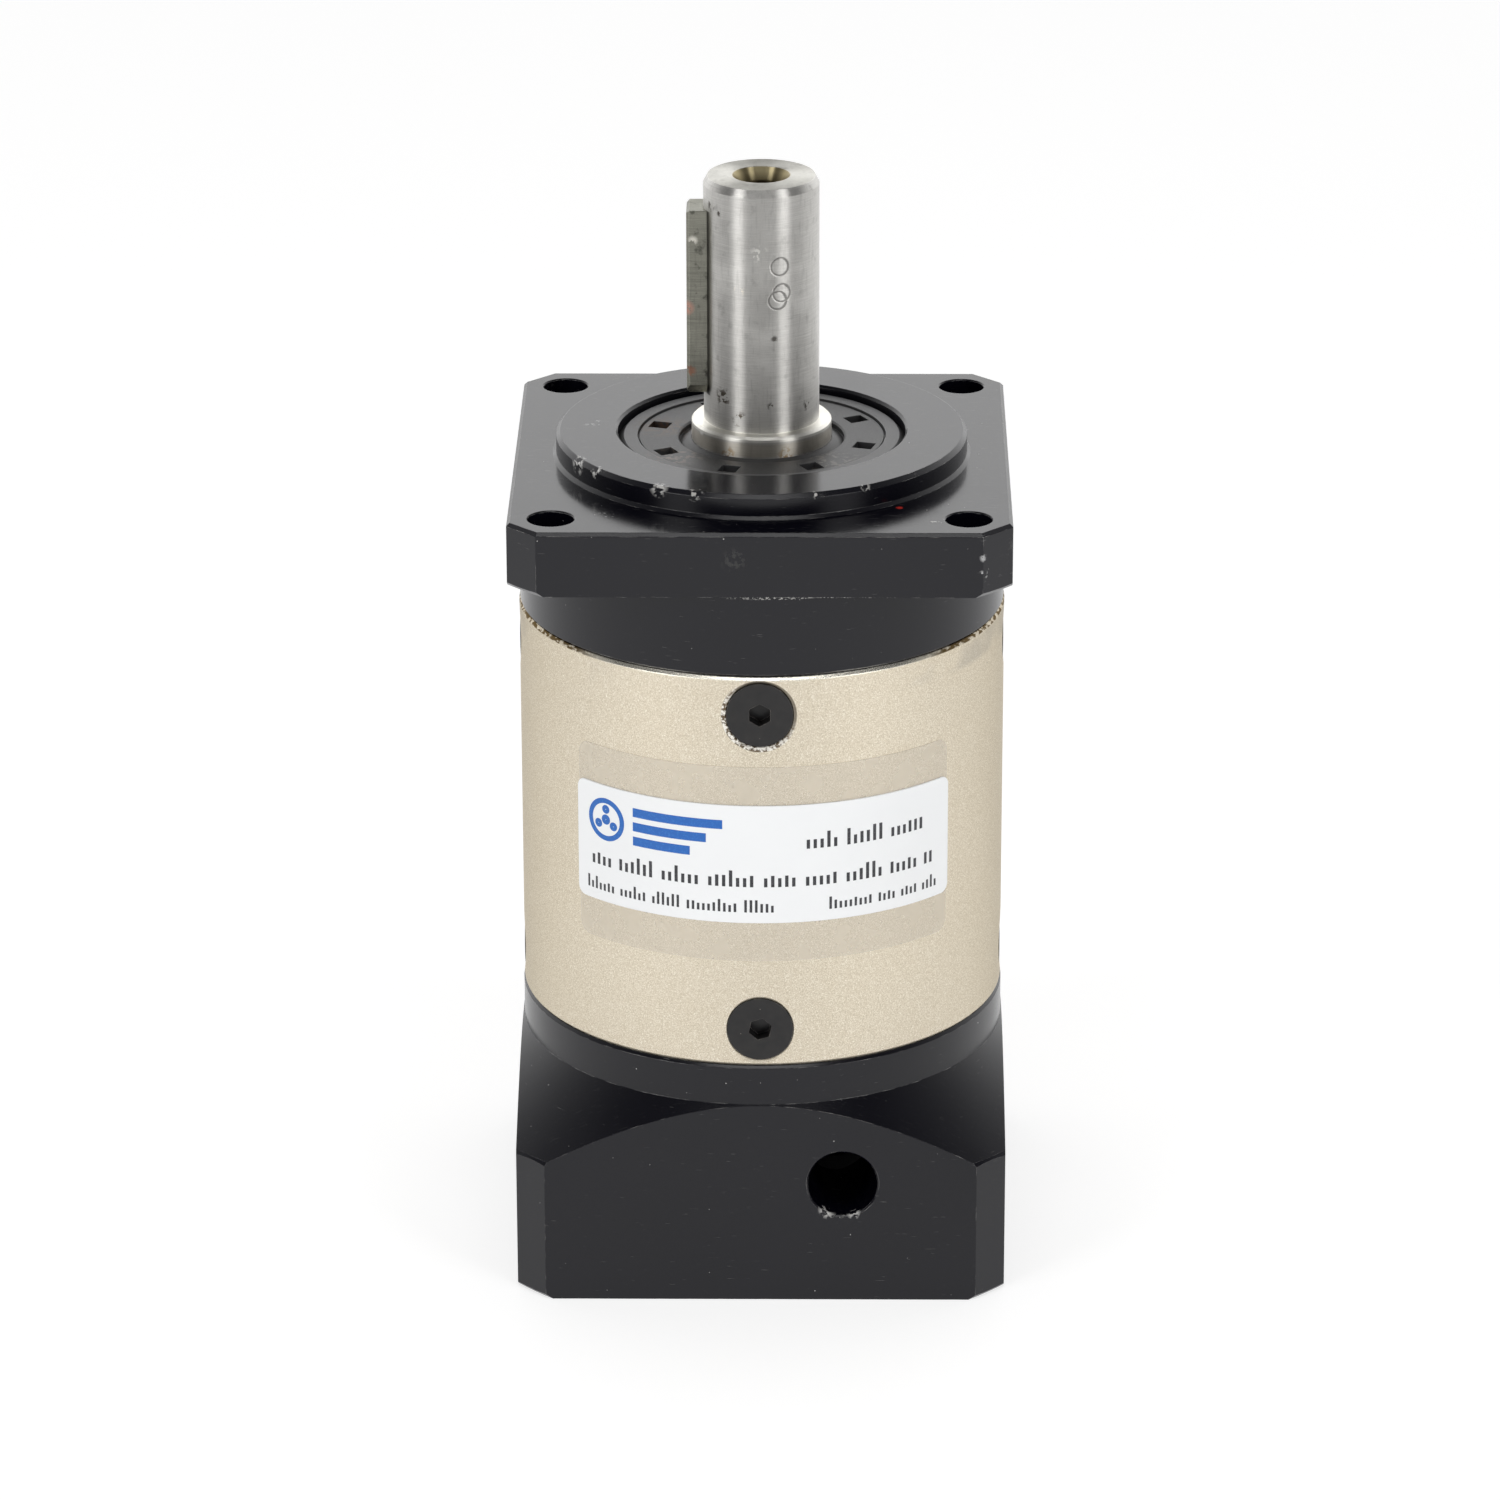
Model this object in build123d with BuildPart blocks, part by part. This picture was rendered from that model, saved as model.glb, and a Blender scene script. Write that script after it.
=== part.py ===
from build123d import *
import math
import os

# Planetary gearbox, 60 mm frame, one stage, ratio 5. Millimetres.
# Z runs along the shafts, from the motor face (Z = 0) up to the end of the output shaft.
# The key faces -X, and the label and the clamp's access hole face -Y.

# Driving dimensions: outside
frame_side = 60.0
corner_leg = 3.6
bolt_circle = 70.0
edge_break = 0.4
turned_corner = 0.55
corner_band = 0.25
corner_band_drop = 0.55

base_corner_top = 17.9
cone_top = 26.2
adapter_joint = 31.3
housing_joint = 81.7
flange_bottom = 92.0
flange_top = 100.0
pilot_height = 3.0
pilot_radius = 25.0
pilot_bevel = 0.5
adapter_ring_radius = 29.85
barrel_radius = 29.75
neck_radius = 29.65
joint_bevel = 0.35
overshoot = 1.0

# Driving dimensions: spigots, radial screws and O-rings
spigot_radius = 27.0
spigot_play = 0.02
spigot_length = 11.0
screw_from_joint = 4.8
screw_count = 4
screw_radius = 2.0
screw_head_radius = 4.0
screw_head_land = 0.18
screw_hex = 2.5
screw_hex_depth = 1.8
screw_length = 8.0
screw_sunk = 0.18
countersink_radius = 4.4
screw_hole_play = 0.2
thread_play = 0.02
o_ring_section = 0.72
o_ring_from_end = 1.7
o_ring_groove_depth = 1.5
o_ring_groove_width = 1.8

# Driving dimensions: mounting holes
flange_hole_radius = 2.75
flange_hole_mouth = 0.15
motor_thread_radius = 2.1
motor_thread_depth = 14.0
motor_pilot_radius = 25.02
motor_pilot_depth = 3.5
clamp_space_radius = 19.0
access_radius = 4.25
access_mouth = 0.2
access_offset = 10.05
access_height = 15.6

# Driving dimensions: output shaft
shaft_radius = 7.0
shaft_end = flange_top + 35.0
shaft_end_bevel = 0.5
shaft_end_bevel_height = 0.9
collar_radius = 8.5
collar_top = 104.5
collar_bevel = 0.3
rear_seat_radius = 10.0
centre_mouth_radius = 3.5
centre_guard_radius = 2.65
centre_guard_depth = 2.6
centre_thread_radius = 2.1
centre_thread_depth = 12.0
key_width = 5.0
key_reach = 9.0
key_seat = 4.0
key_bottom = 108.2
key_top = 131.2
key_bevel = 0.35
key_foot_bevel = 1.0

# Driving dimensions: gears
module = 0.7
sun_teeth = 18
planet_teeth = 27
ring_teeth = 72
planet_count = 3
pressure_angle = math.radians(20.0)
dedendum = 1.25
flank_play = 0.02
flank_points = 5

# Driving dimensions: carrier and planets
carrier_radius = 24.0
rear_cheek_bottom = 43.6
rear_cheek_top = 47.6
front_cheek_bottom = 62.0
front_cheek_top = 70.0
shoulder_radius = 12.2
post_radius = 5.5
post_circle = 17.5
sun_passage = 8.0
pin_radius = 4.0
pin_top = 68.0
needle_radius = 0.98
needle_pitch = 5.0
needle_count = 15
needle_inset = 0.9
planet_bore = 6.0
washer_radius = 7.6
washer_thickness = 0.5
washer_play = 0.05

# Driving dimensions: bearings, seals and retaining rings
front_bearing_bottom = 84.6
rear_bearing_bottom = 73.6
front_web_bottom = 82.6
web_radius = 15.0
spacer_radius = 10.6
input_bearing_bottom = 31.2
input_web_bottom = 29.5
input_web_radius = 13.5
input_ring_shoulder = 11.5
input_shoulder_bottom = 29.8
ball_play = 0.02
groove_depth_share = 0.3
cage_wall_share = 0.7
cage_height_share = 1.25
cage_play = 0.06
seal_bottom = 96.2
seal_top = 102.2
seal_rim_outer = 16.75
seal_rim_inner = 14.85
seal_line_width = 0.25
seal_line_depth = 0.4
seal_face_drop = 0.2
seal_eye_radius = 10.05
seal_mouth_bevel = 0.3
pocket_count = 8
pocket_inner = 11.8
pocket_outer = 14.2
pocket_width = 2.3
pocket_depth = 0.9
pocket_start = 28.0
garter_circle = 10.4
garter_wire = 0.5
garter_below_face = 4.0
input_seal_bottom = 24.5
input_seal_radius = 15.0
ring_groove_depth = 1.1
small_ring_groove_depth = 0.85
shaft_groove_radius = 8.1
input_groove_radius = 9.45
ring_play = 0.05
lug_radius = 1.5
lug_hole = 0.7

# The output seal's lips, as (distance outside the shaft's collar, depth below the seal's face)
dust_and_main_lips = [
    (1.55, 0.8),
    (0.04, 0.1),
    (0.04, 0.4),
    (0.95, 1.2),
    (0.04, 3.4),
    (0.04, 3.7),
    (1.35, 4.6),
    (1.35, 3.3),
    (2.15, 1.9),
    (7.4, 1.9),
]

# The input seal's section, as (distance outside the input shaft, height above its bottom)
input_seal_section = [
    (3.6, 5.0),
    (3.6, 1.4),
    (1.6, 1.4),
    (1.2, 3.6),
    (0.04, 3.0),
    (0.04, 2.7),
    (0.8, 1.6),
    (0.8, 0.0),
]

# Retaining rings as (inner radius, outer radius, lug circle, thickness, gap in degrees)
housing_ring = (16.2, 18.5, 15.6, 1.4, 26.0)
shaft_ring = (8.15, 9.6, 10.2, 1.0, 34.0)
input_housing_ring = (14.9, 16.8, 14.2, 1.2, 26.0)
input_shaft_ring = (9.5, 11.0, 11.0, 1.2, 30.0)

# Driving dimensions: input shaft and its clamp
clamp_radius = 16.5
clamp_bottom = 9.6
clamp_slot_bottom = 21.6
clamp_slot_top = 22.6
clamp_top = 23.8
clamp_slit = 1.2
clamp_slot_reach = 2.0
input_radius = 10.0
motor_bore_radius = 7.0
motor_bore_top = 30.5
sun_stub_bottom = 32.5
sun_stub_radius = 4.0
input_top = 42.0
sun_collar_top = 44.0
sun_collar_radius = 5.3
sun_top = 61.4
clamp_screw_head_radius = 3.5
clamp_screw_head_height = 4.0
clamp_screw_seat = 6.0
clamp_screw_length = 14.0
clamp_screw_hex = 3.0
clamp_screw_hex_depth = 2.2
clamp_screw_bevel = 0.3
clamp_counterbore_play = 0.3

# Driving dimensions: label and film
label_width = 44.8
label_bottom = 50.2
label_top = 65.4
label_thickness = 0.12
label_corner = 1.1
film_width = 44.4
film_bottom = 45.2
film_top = 70.3
film_thickness = 0.08
film_corner = 1.6
skin_shift = 0.3

# Worked out
half_side = frame_side / 2
corner_radius = math.hypot(half_side, half_side - corner_leg)
hole_offset = bolt_circle / 2 / math.sqrt(2)
pilot_top = flange_top + pilot_height
housing_spigot_bottom = housing_joint - spigot_length
adapter_spigot_top = adapter_joint + spigot_length
output_screw_height = housing_joint - screw_from_joint
input_screw_height = adapter_joint + screw_from_joint
ring_pitch_radius = module * ring_teeth / 2
planet_pitch_radius = module * planet_teeth / 2
sun_pitch_radius = module * sun_teeth / 2
planet_circle = sun_pitch_radius + planet_pitch_radius
planet_bottom = rear_cheek_top + washer_thickness + washer_play
planet_top = front_cheek_bottom - washer_thickness - washer_play
hex_corner = 1 / math.cos(math.pi / 6)
key_height = key_top - key_bottom
seal_face = seal_top - seal_face_drop
housing_o_ring_bottom = housing_spigot_bottom + o_ring_from_end
adapter_o_ring_bottom = adapter_spigot_top - o_ring_from_end - o_ring_groove_width
slit_reach = clamp_radius + overshoot
access_depth = half_side - math.sqrt(clamp_space_radius**2 - access_offset**2) + 3 * overshoot

# Bearings as (bore radius, outer radius, width, bottom, ball radius, ball circle radius, balls)
front_bearing = (8.5, 17.5, 10.0, front_bearing_bottom, 2.38, 13.0, 9)
rear_bearing = (10.0, 18.5, 9.0, rear_bearing_bottom, 2.5, 14.25, 10)
input_bearing = (10.0, 16.0, 7.0, input_bearing_bottom, 1.75, 13.0, 13)
front_ring_bottom = front_bearing_bottom + front_bearing[2]
input_ring_bottom = input_bearing_bottom + input_bearing[2]
input_ring_top = input_ring_bottom + input_shaft_ring[3] + ring_play


def write(piece, name):
    """Labels a finished piece and writes its STEP file."""
    piece.part.label = name
    export_step(piece.part, f"parts/{name}.step")


def clipped_square(leg):
    """The square frame outline with its corners clipped, drawn in the open sketch."""
    Rectangle(frame_side, frame_side)
    chamfer(vertices(), length=leg)


def radial_plane(angle, radius, height):
    """A plane that faces outward at this angle, radius and height."""
    direction = (math.cos(math.radians(angle)), math.sin(math.radians(angle)), 0)
    return Plane(
        origin=(radius * direction[0], radius * direction[1], height),
        x_dir=(-direction[1], direction[0], 0),
        z_dir=direction,
    )


def side_angles():
    """The angles of the radial screws, the first of them facing -Y."""
    return [270 + 360 / screw_count * step for step in range(screw_count)]


def involute_point(base_radius, radius):
    """The angle that an involute has turned through when it reaches this radius."""
    roll = math.sqrt(max((radius / base_radius) ** 2 - 1, 0))
    return roll - math.atan(roll)


def gear_outline(teeth, inner_radius, outer_radius, growth, turn=0.0):
    """A closed involute outline with a tooth centred at the angle turn, drawn in the open sketch.

    growth widens each half tooth at the pitch circle, so it is negative on a gear
    and positive on the cutting outline of an internal gear.
    """
    pitch_radius = module * teeth / 2
    base_radius = pitch_radius * math.cos(pressure_angle)
    flank_start = max(inner_radius, base_radius)
    half_tooth = math.pi / 2 / teeth + growth / pitch_radius
    at_pitch = involute_point(base_radius, pitch_radius)

    def point(radius, angle):
        return (radius * math.cos(angle), radius * math.sin(angle))

    radii = [
        flank_start + (outer_radius - flank_start) * step / (flank_points - 1)
        for step in range(flank_points)
    ]
    offsets = [half_tooth + at_pitch - involute_point(base_radius, r) for r in radii]
    step_angle = 2 * math.pi / teeth
    with BuildLine() as outline:
        for tooth in range(teeth):
            centre = math.radians(turn) + tooth * step_angle
            rising = [point(r, centre - a) for r, a in zip(radii, offsets)]
            falling = [point(r, centre + a) for r, a in zip(radii, offsets)][::-1]
            root_start = point(inner_radius, centre - offsets[0])
            root_end = point(inner_radius, centre + offsets[0])
            next_root = point(inner_radius, centre + step_angle - offsets[0])
            if flank_start > inner_radius:
                Line(root_start, rising[0])
                Line(falling[-1], root_end)
            Spline(*rising)
            ThreePointArc(rising[-1], point(outer_radius, centre), falling[0])
            Spline(*falling)
            ThreePointArc(root_end, point(inner_radius, centre + step_angle / 2), next_root)
    make_face(outline.edges())


def write_radial_screws(name, height, hex_turns):
    """Four countersunk socket screws, heads outward, as one node."""
    head_face = barrel_radius - screw_sunk
    cone_height = screw_head_radius - screw_radius
    with BuildPart() as screws:
        for angle, hex_turn in zip(side_angles(), hex_turns):
            plane = radial_plane(angle, head_face, height)
            with BuildSketch(plane):
                Circle(screw_head_radius)
            extrude(amount=-screw_head_land)
            with BuildSketch(plane.offset(-screw_head_land)):
                Circle(screw_head_radius)
            with BuildSketch(plane.offset(-screw_head_land - cone_height)):
                Circle(screw_radius - thread_play)
            loft()
            with BuildSketch(plane.offset(-screw_head_land - cone_height)):
                Circle(screw_radius - thread_play)
            extrude(amount=-(screw_length - screw_head_land - cone_height))
            with BuildSketch(plane):
                RegularPolygon(screw_hex / 2 * hex_corner, 6, rotation=hex_turn)
            extrude(amount=-screw_hex_depth, mode=Mode.SUBTRACT)
    write(screws, name)


def cut_radial_threads(height):
    """The tapped holes for the radial screws, cut in the open part."""
    depth = spigot_radius - (barrel_radius - screw_sunk - screw_length) + thread_play
    for angle in side_angles():
        with BuildSketch(radial_plane(angle, spigot_radius, height)) as hole:
            Circle(screw_radius)
        extrude(hole.sketch, amount=-depth, mode=Mode.SUBTRACT)


def groove_points(bottom):
    """The half section of an O-ring groove in a spigot, as (radius, height) points."""
    floor = spigot_radius - o_ring_groove_depth
    top = bottom + o_ring_groove_width
    outside = spigot_radius + overshoot
    return [(floor, bottom), (outside, bottom), (outside, top), (floor, top)]


def cut_turned(points):
    """Cuts a half section of (radius, height) points, turned about Z, from the open part."""
    add_turned(points, Mode.SUBTRACT)


def add_turned(points, mode=Mode.ADD):
    """Turns a half section of (radius, height) points about Z in the open part."""
    with BuildSketch(Plane.XZ) as section:
        with BuildLine():
            Polyline(*points, close=True)
        make_face()
    revolve(section.sketch, axis=Axis.Z, mode=mode)


def break_lower_corners(bottom):
    """Turns a bevel on the square's four lower corners, in the open part."""
    inside = corner_radius - turned_corner
    outside = corner_radius + overshoot
    cut_turned(
        [
            (inside, bottom - overshoot),
            (inside, bottom),
            (outside, bottom + turned_corner + overshoot),
            (outside, bottom - overshoot),
        ]
    )


def write_bearing(name, sizes):
    """A deep groove ball bearing as four nodes: two rings, the balls and the cage."""
    bore, outer, width, bottom, ball, circle, count = sizes
    middle = bottom + width / 2
    shoulder = ball * (1 - groove_depth_share)
    inner_land = circle - shoulder
    outer_land = circle + shoulder

    for label, near, far in (("outer_ring", outer_land, outer), ("inner_ring", bore, inner_land)):
        with BuildPart() as race:
            with BuildSketch(Plane.XZ):
                with Locations(((near + far) / 2, middle)):
                    Rectangle(far - near, width)
                with Locations((circle, middle)):
                    Circle(ball + ball_play, mode=Mode.SUBTRACT)
            revolve(axis=Axis.Z)
        write(race, f"{name}_{label}")

    with BuildPart() as balls:
        with Locations((0, 0, middle)):
            with PolarLocations(circle, count):
                Sphere(ball)
    write(balls, f"{name}_balls")

    cage_wall = ball * cage_wall_share
    cage_height = 2 * ball * cage_height_share
    with BuildPart() as cage:
        with BuildSketch(Plane.XY.offset(middle - cage_height / 2)):
            Circle(circle + cage_wall / 2)
            Circle(circle - cage_wall / 2, mode=Mode.SUBTRACT)
        extrude(amount=cage_height)
        with Locations((0, 0, middle)):
            with PolarLocations(circle, count):
                Cylinder(ball + cage_play, ball, rotation=(0, 90, 0), mode=Mode.SUBTRACT)
    write(cage, f"{name}_cage")


def write_retaining_ring(name, sizes, bottom):
    """A spring retaining ring with a gap at +Y and a drilled lug at each side of it."""
    inner, outer, lug_circle, thickness, gap = sizes
    gap_reach = 2 * outer * math.tan(math.radians(gap / 2))
    lug_turn = math.radians(gap / 2) + lug_radius / lug_circle
    with BuildPart() as clip:
        with BuildSketch(Plane.XY.offset(bottom)):
            Circle(outer)
            Circle(inner, mode=Mode.SUBTRACT)
            with BuildLine(mode=Mode.PRIVATE) as wedge:
                Polyline((0, 0), (-gap_reach, 2 * outer), (gap_reach, 2 * outer), close=True)
            make_face(wedge.edges(), mode=Mode.SUBTRACT)
            lug_x, lug_y = lug_circle * math.sin(lug_turn), lug_circle * math.cos(lug_turn)
            with Locations((-lug_x, lug_y), (lug_x, lug_y)):
                Circle(lug_radius)
                Circle(lug_hole, mode=Mode.SUBTRACT)
        extrude(amount=thickness)
    write(clip, name)


def write_o_ring(name, groove_bottom):
    """An O-ring lying in its groove."""
    with BuildPart() as o_ring:
        middle = groove_bottom + o_ring_groove_width / 2
        with BuildSketch(Plane.XZ):
            with Locations((spigot_radius - o_ring_section, middle)):
                Circle(o_ring_section)
        revolve(axis=Axis.Z)
    write(o_ring, name)


os.makedirs("parts", exist_ok=True)

# The output housing: neck and spigot below, square flange, pilot disc and bearing seats.
with BuildPart() as output_housing:
    with BuildSketch(Plane.XY.offset(flange_bottom)):
        clipped_square(corner_leg)
    extrude(amount=flange_top - flange_bottom)
    top_edges = output_housing.edges().group_by(Axis.Z)[-1]
    chamfer(top_edges, length=edge_break)
    break_lower_corners(flange_bottom)
    add_turned(
        [
            (web_radius, flange_bottom),
            (pilot_radius + edge_break, flange_bottom),
            (pilot_radius + edge_break, flange_top),
            (pilot_radius, flange_top + edge_break),
            (pilot_radius, pilot_top - pilot_bevel),
            (pilot_radius - pilot_bevel, pilot_top),
            (web_radius, pilot_top),
        ]
    )
    add_turned(
        [
            (web_radius, flange_bottom),
            (neck_radius, flange_bottom),
            (neck_radius, housing_joint + joint_bevel),
            (neck_radius - joint_bevel, housing_joint),
            (spigot_radius - spigot_play, housing_joint),
            (spigot_radius - spigot_play, housing_spigot_bottom),
            (web_radius, housing_spigot_bottom),
        ]
    )
    outer = front_bearing[1]
    groove = outer + ring_groove_depth
    cut_turned(
        [
            (0, front_bearing_bottom),
            (outer, front_bearing_bottom),
            (outer, front_ring_bottom),
            (groove, front_ring_bottom),
            (groove, seal_bottom - ring_play),
            (outer, seal_bottom - ring_play),
            (outer, pilot_top - seal_mouth_bevel),
            (outer + seal_mouth_bevel + overshoot, pilot_top + overshoot),
            (0, pilot_top + overshoot),
        ]
    )
    with BuildSketch(Plane.XY.offset(housing_spigot_bottom)):
        Circle(rear_bearing[1])
    extrude(amount=front_web_bottom - housing_spigot_bottom, mode=Mode.SUBTRACT)
    with BuildSketch(Plane.XY.offset(front_web_bottom)):
        Circle(web_radius)
    extrude(amount=front_bearing_bottom - front_web_bottom, mode=Mode.SUBTRACT)
    cut_turned(groove_points(housing_o_ring_bottom))
    with Locations(Plane.XY.offset(flange_top)):
        with GridLocations(2 * hole_offset, 2 * hole_offset, 2, 2):
            CounterSinkHole(
                flange_hole_radius,
                flange_hole_radius + flange_hole_mouth,
                depth=flange_top - flange_bottom,
                counter_sink_angle=90,
            )
    cut_radial_threads(output_screw_height)
write(output_housing, "output_housing")

# The barrel is the ring gear: teeth broached through, then a turned seat at each end.
with BuildPart() as barrel:
    add_turned(
        [
            (0, adapter_joint),
            (barrel_radius - joint_bevel, adapter_joint),
            (barrel_radius, adapter_joint + joint_bevel),
            (barrel_radius, housing_joint - joint_bevel),
            (barrel_radius - joint_bevel, housing_joint),
            (0, housing_joint),
        ]
    )
    with BuildSketch(Plane.XY.offset(adapter_joint)):
        gear_outline(
            ring_teeth,
            ring_pitch_radius - module,
            ring_pitch_radius + dedendum * module,
            flank_play,
        )
    extrude(amount=housing_joint - adapter_joint, mode=Mode.SUBTRACT)
    for seat_bottom in (adapter_joint, housing_spigot_bottom):
        with BuildSketch(Plane.XY.offset(seat_bottom)):
            Circle(spigot_radius)
        extrude(amount=spigot_length, mode=Mode.SUBTRACT)
    for height in (input_screw_height, output_screw_height):
        for angle in side_angles():
            with Locations(radial_plane(angle, barrel_radius, height)):
                CounterSinkHole(
                    screw_radius + screw_hole_play,
                    countersink_radius,
                    depth=barrel_radius - spigot_radius + overshoot,
                    counter_sink_angle=90,
                )
write(barrel, "ring_gear_barrel")

# The motor adapter: square base, cone, ring and spigot, hollow for the clamp.
with BuildPart() as adapter:
    with BuildSketch(Plane.XY):
        clipped_square(corner_leg)
    extrude(amount=cone_top)
    cut_turned(
        [
            (adapter_ring_radius, cone_top),
            (corner_radius - corner_band, base_corner_top + corner_band_drop),
            (corner_radius, base_corner_top),
            (corner_radius + overshoot, base_corner_top),
            (corner_radius + overshoot, cone_top + overshoot),
            (adapter_ring_radius, cone_top + overshoot),
        ]
    )
    break_lower_corners(0)
    add_turned(
        [
            (0, cone_top - overshoot),
            (adapter_ring_radius - overshoot, cone_top - overshoot),
            (adapter_ring_radius, cone_top),
            (adapter_ring_radius, adapter_joint - joint_bevel),
            (adapter_ring_radius - joint_bevel, adapter_joint),
            (spigot_radius - spigot_play, adapter_joint),
            (spigot_radius - spigot_play, adapter_spigot_top),
            (0, adapter_spigot_top),
        ]
    )
    outer = input_bearing[1]
    groove = outer + small_ring_groove_depth
    cut_turned(
        [
            (0, -overshoot),
            (motor_pilot_radius, -overshoot),
            (motor_pilot_radius, motor_pilot_depth),
            (clamp_space_radius, motor_pilot_depth),
            (clamp_space_radius, input_seal_bottom),
            (input_seal_radius, input_seal_bottom),
            (input_seal_radius, input_web_bottom),
            (input_web_radius, input_web_bottom),
            (input_web_radius, input_bearing_bottom),
            (outer, input_bearing_bottom),
            (outer, input_ring_bottom),
            (groove, input_ring_bottom),
            (groove, input_ring_top),
            (outer, input_ring_top),
            (outer, adapter_spigot_top + overshoot),
            (0, adapter_spigot_top + overshoot),
        ]
    )
    cut_turned(groove_points(adapter_o_ring_bottom))
    with Locations(Plane.XY):
        with GridLocations(2 * hole_offset, 2 * hole_offset, 2, 2):
            Cylinder(
                motor_thread_radius,
                motor_thread_depth,
                align=(Align.CENTER, Align.CENTER, Align.MIN),
                mode=Mode.SUBTRACT,
            )
    access_plane = Plane((access_offset, -half_side, access_height), x_dir=(1, 0, 0), z_dir=(0, -1, 0))
    with Locations(access_plane):
        CounterSinkHole(
            access_radius,
            access_radius + access_mouth,
            depth=access_depth,
            counter_sink_angle=90,
        )
    cut_radial_threads(input_screw_height)
write(adapter, "motor_adapter")

write_radial_screws("output_side_screws", output_screw_height, (30, 11, 47, 22))
write_radial_screws("input_side_screws", input_screw_height, (18, 52, 5, 33))
write_o_ring("housing_o_ring", housing_o_ring_bottom)
write_o_ring("adapter_o_ring", adapter_o_ring_bottom)

# The name label and the clear film under it follow the barrel's front.
for name, width, bottom, top, inside, thickness, corner in (
    ("label_film", film_width, film_bottom, film_top, barrel_radius, film_thickness, film_corner),
    (
        "name_label",
        label_width,
        label_bottom,
        label_top,
        barrel_radius + film_thickness,
        label_thickness,
        label_corner,
    ),
):
    with BuildPart() as skin:
        with BuildSketch(Plane.XZ):
            with Locations((skin_shift, (bottom + top) / 2)):
                RectangleRounded(width, top - bottom, corner)
        extrude(amount=barrel_radius + overshoot)
        with BuildSketch(Plane.XY.offset(bottom)):
            Circle(inside + thickness)
            Circle(inside, mode=Mode.SUBTRACT)
        extrude(amount=top - bottom, mode=Mode.INTERSECT)
    write(skin, name)

# The output shaft is one piece with the planet carrier.
with BuildPart() as output_shaft:
    add_turned(
        [
            (0, front_cheek_bottom),
            (carrier_radius, front_cheek_bottom),
            (carrier_radius, front_cheek_top),
            (shoulder_radius, front_cheek_top),
            (shoulder_radius, rear_bearing_bottom),
            (rear_seat_radius, rear_bearing_bottom),
            (rear_seat_radius, front_web_bottom),
            (collar_radius, front_web_bottom),
            (collar_radius, collar_top - collar_bevel),
            (collar_radius - collar_bevel, collar_top),
            (shaft_radius, collar_top),
            (shaft_radius, shaft_end - shaft_end_bevel_height),
            (shaft_radius - shaft_end_bevel, shaft_end),
            (0, shaft_end),
        ]
    )
    with BuildSketch(Plane.XY.offset(rear_cheek_bottom)):
        Circle(carrier_radius)
        Circle(sun_passage, mode=Mode.SUBTRACT)
    extrude(amount=rear_cheek_top - rear_cheek_bottom)
    with BuildSketch(Plane.XY.offset(rear_cheek_top)):
        with PolarLocations(post_circle, planet_count, start_angle=180 / planet_count):
            Circle(post_radius)
    extrude(amount=front_cheek_bottom - rear_cheek_top)
    with BuildSketch(Plane.XY.offset(rear_cheek_bottom)):
        with PolarLocations(planet_circle, planet_count):
            Circle(pin_radius)
    extrude(amount=pin_top - rear_cheek_bottom, mode=Mode.SUBTRACT)
    with Locations((-(key_seat + key_reach) / 2, 0, (key_bottom + key_top) / 2)):
        Box(key_reach - key_seat, key_width, key_height, mode=Mode.SUBTRACT)
    cone_depth = (centre_mouth_radius - centre_guard_radius) / math.tan(math.radians(30))
    thread_start = shaft_end - centre_guard_depth
    cut_turned(
        [
            (0, thread_start - centre_thread_depth - centre_thread_radius / 2),
            (centre_thread_radius, thread_start - centre_thread_depth),
            (centre_thread_radius, thread_start),
            (centre_guard_radius, thread_start + centre_guard_radius - centre_thread_radius),
            (centre_guard_radius, shaft_end - cone_depth),
            (centre_mouth_radius, shaft_end),
            (0, shaft_end),
        ]
    )
    groove_top = front_ring_bottom + shaft_ring[3] + 2 * ring_play
    cut_turned(
        [
            (shaft_groove_radius, front_ring_bottom),
            (collar_radius + overshoot, front_ring_bottom),
            (collar_radius + overshoot, groove_top),
            (shaft_groove_radius, groove_top),
        ]
    )
write(output_shaft, "output_shaft")

with BuildPart() as shaft_key:
    with Locations((-(key_seat + key_reach) / 2, 0, (key_bottom + key_top) / 2)):
        Box(key_reach - key_seat, key_width, key_height)
    outer_edges = shaft_key.edges().group_by(Axis.X)[0]
    chamfer(outer_edges, length=key_bevel)
    foot_edges = shaft_key.faces().sort_by(Axis.Z)[0].edges().filter_by(Axis.X)
    chamfer(foot_edges, length=key_foot_bevel, length2=key_foot_bevel / 2)
write(shaft_key, "shaft_key")

write_bearing("front_bearing", front_bearing)
write_bearing("rear_bearing", rear_bearing)
write_bearing("input_bearing", input_bearing)

with BuildPart() as spacer:
    with BuildSketch(Plane.XY.offset(front_web_bottom)):
        Circle(spacer_radius)
        Circle(collar_radius, mode=Mode.SUBTRACT)
    extrude(amount=front_bearing_bottom - front_web_bottom)
write(spacer, "bearing_spacer")

# Retaining rings: two in housings, two on shafts.
write_retaining_ring("housing_retaining_ring", housing_ring, front_ring_bottom)
write_retaining_ring("shaft_retaining_ring", shaft_ring, front_ring_bottom)
write_retaining_ring("input_housing_retaining_ring", input_housing_ring, input_ring_bottom)
write_retaining_ring("input_shaft_retaining_ring", input_shaft_ring, input_ring_bottom)

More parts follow.
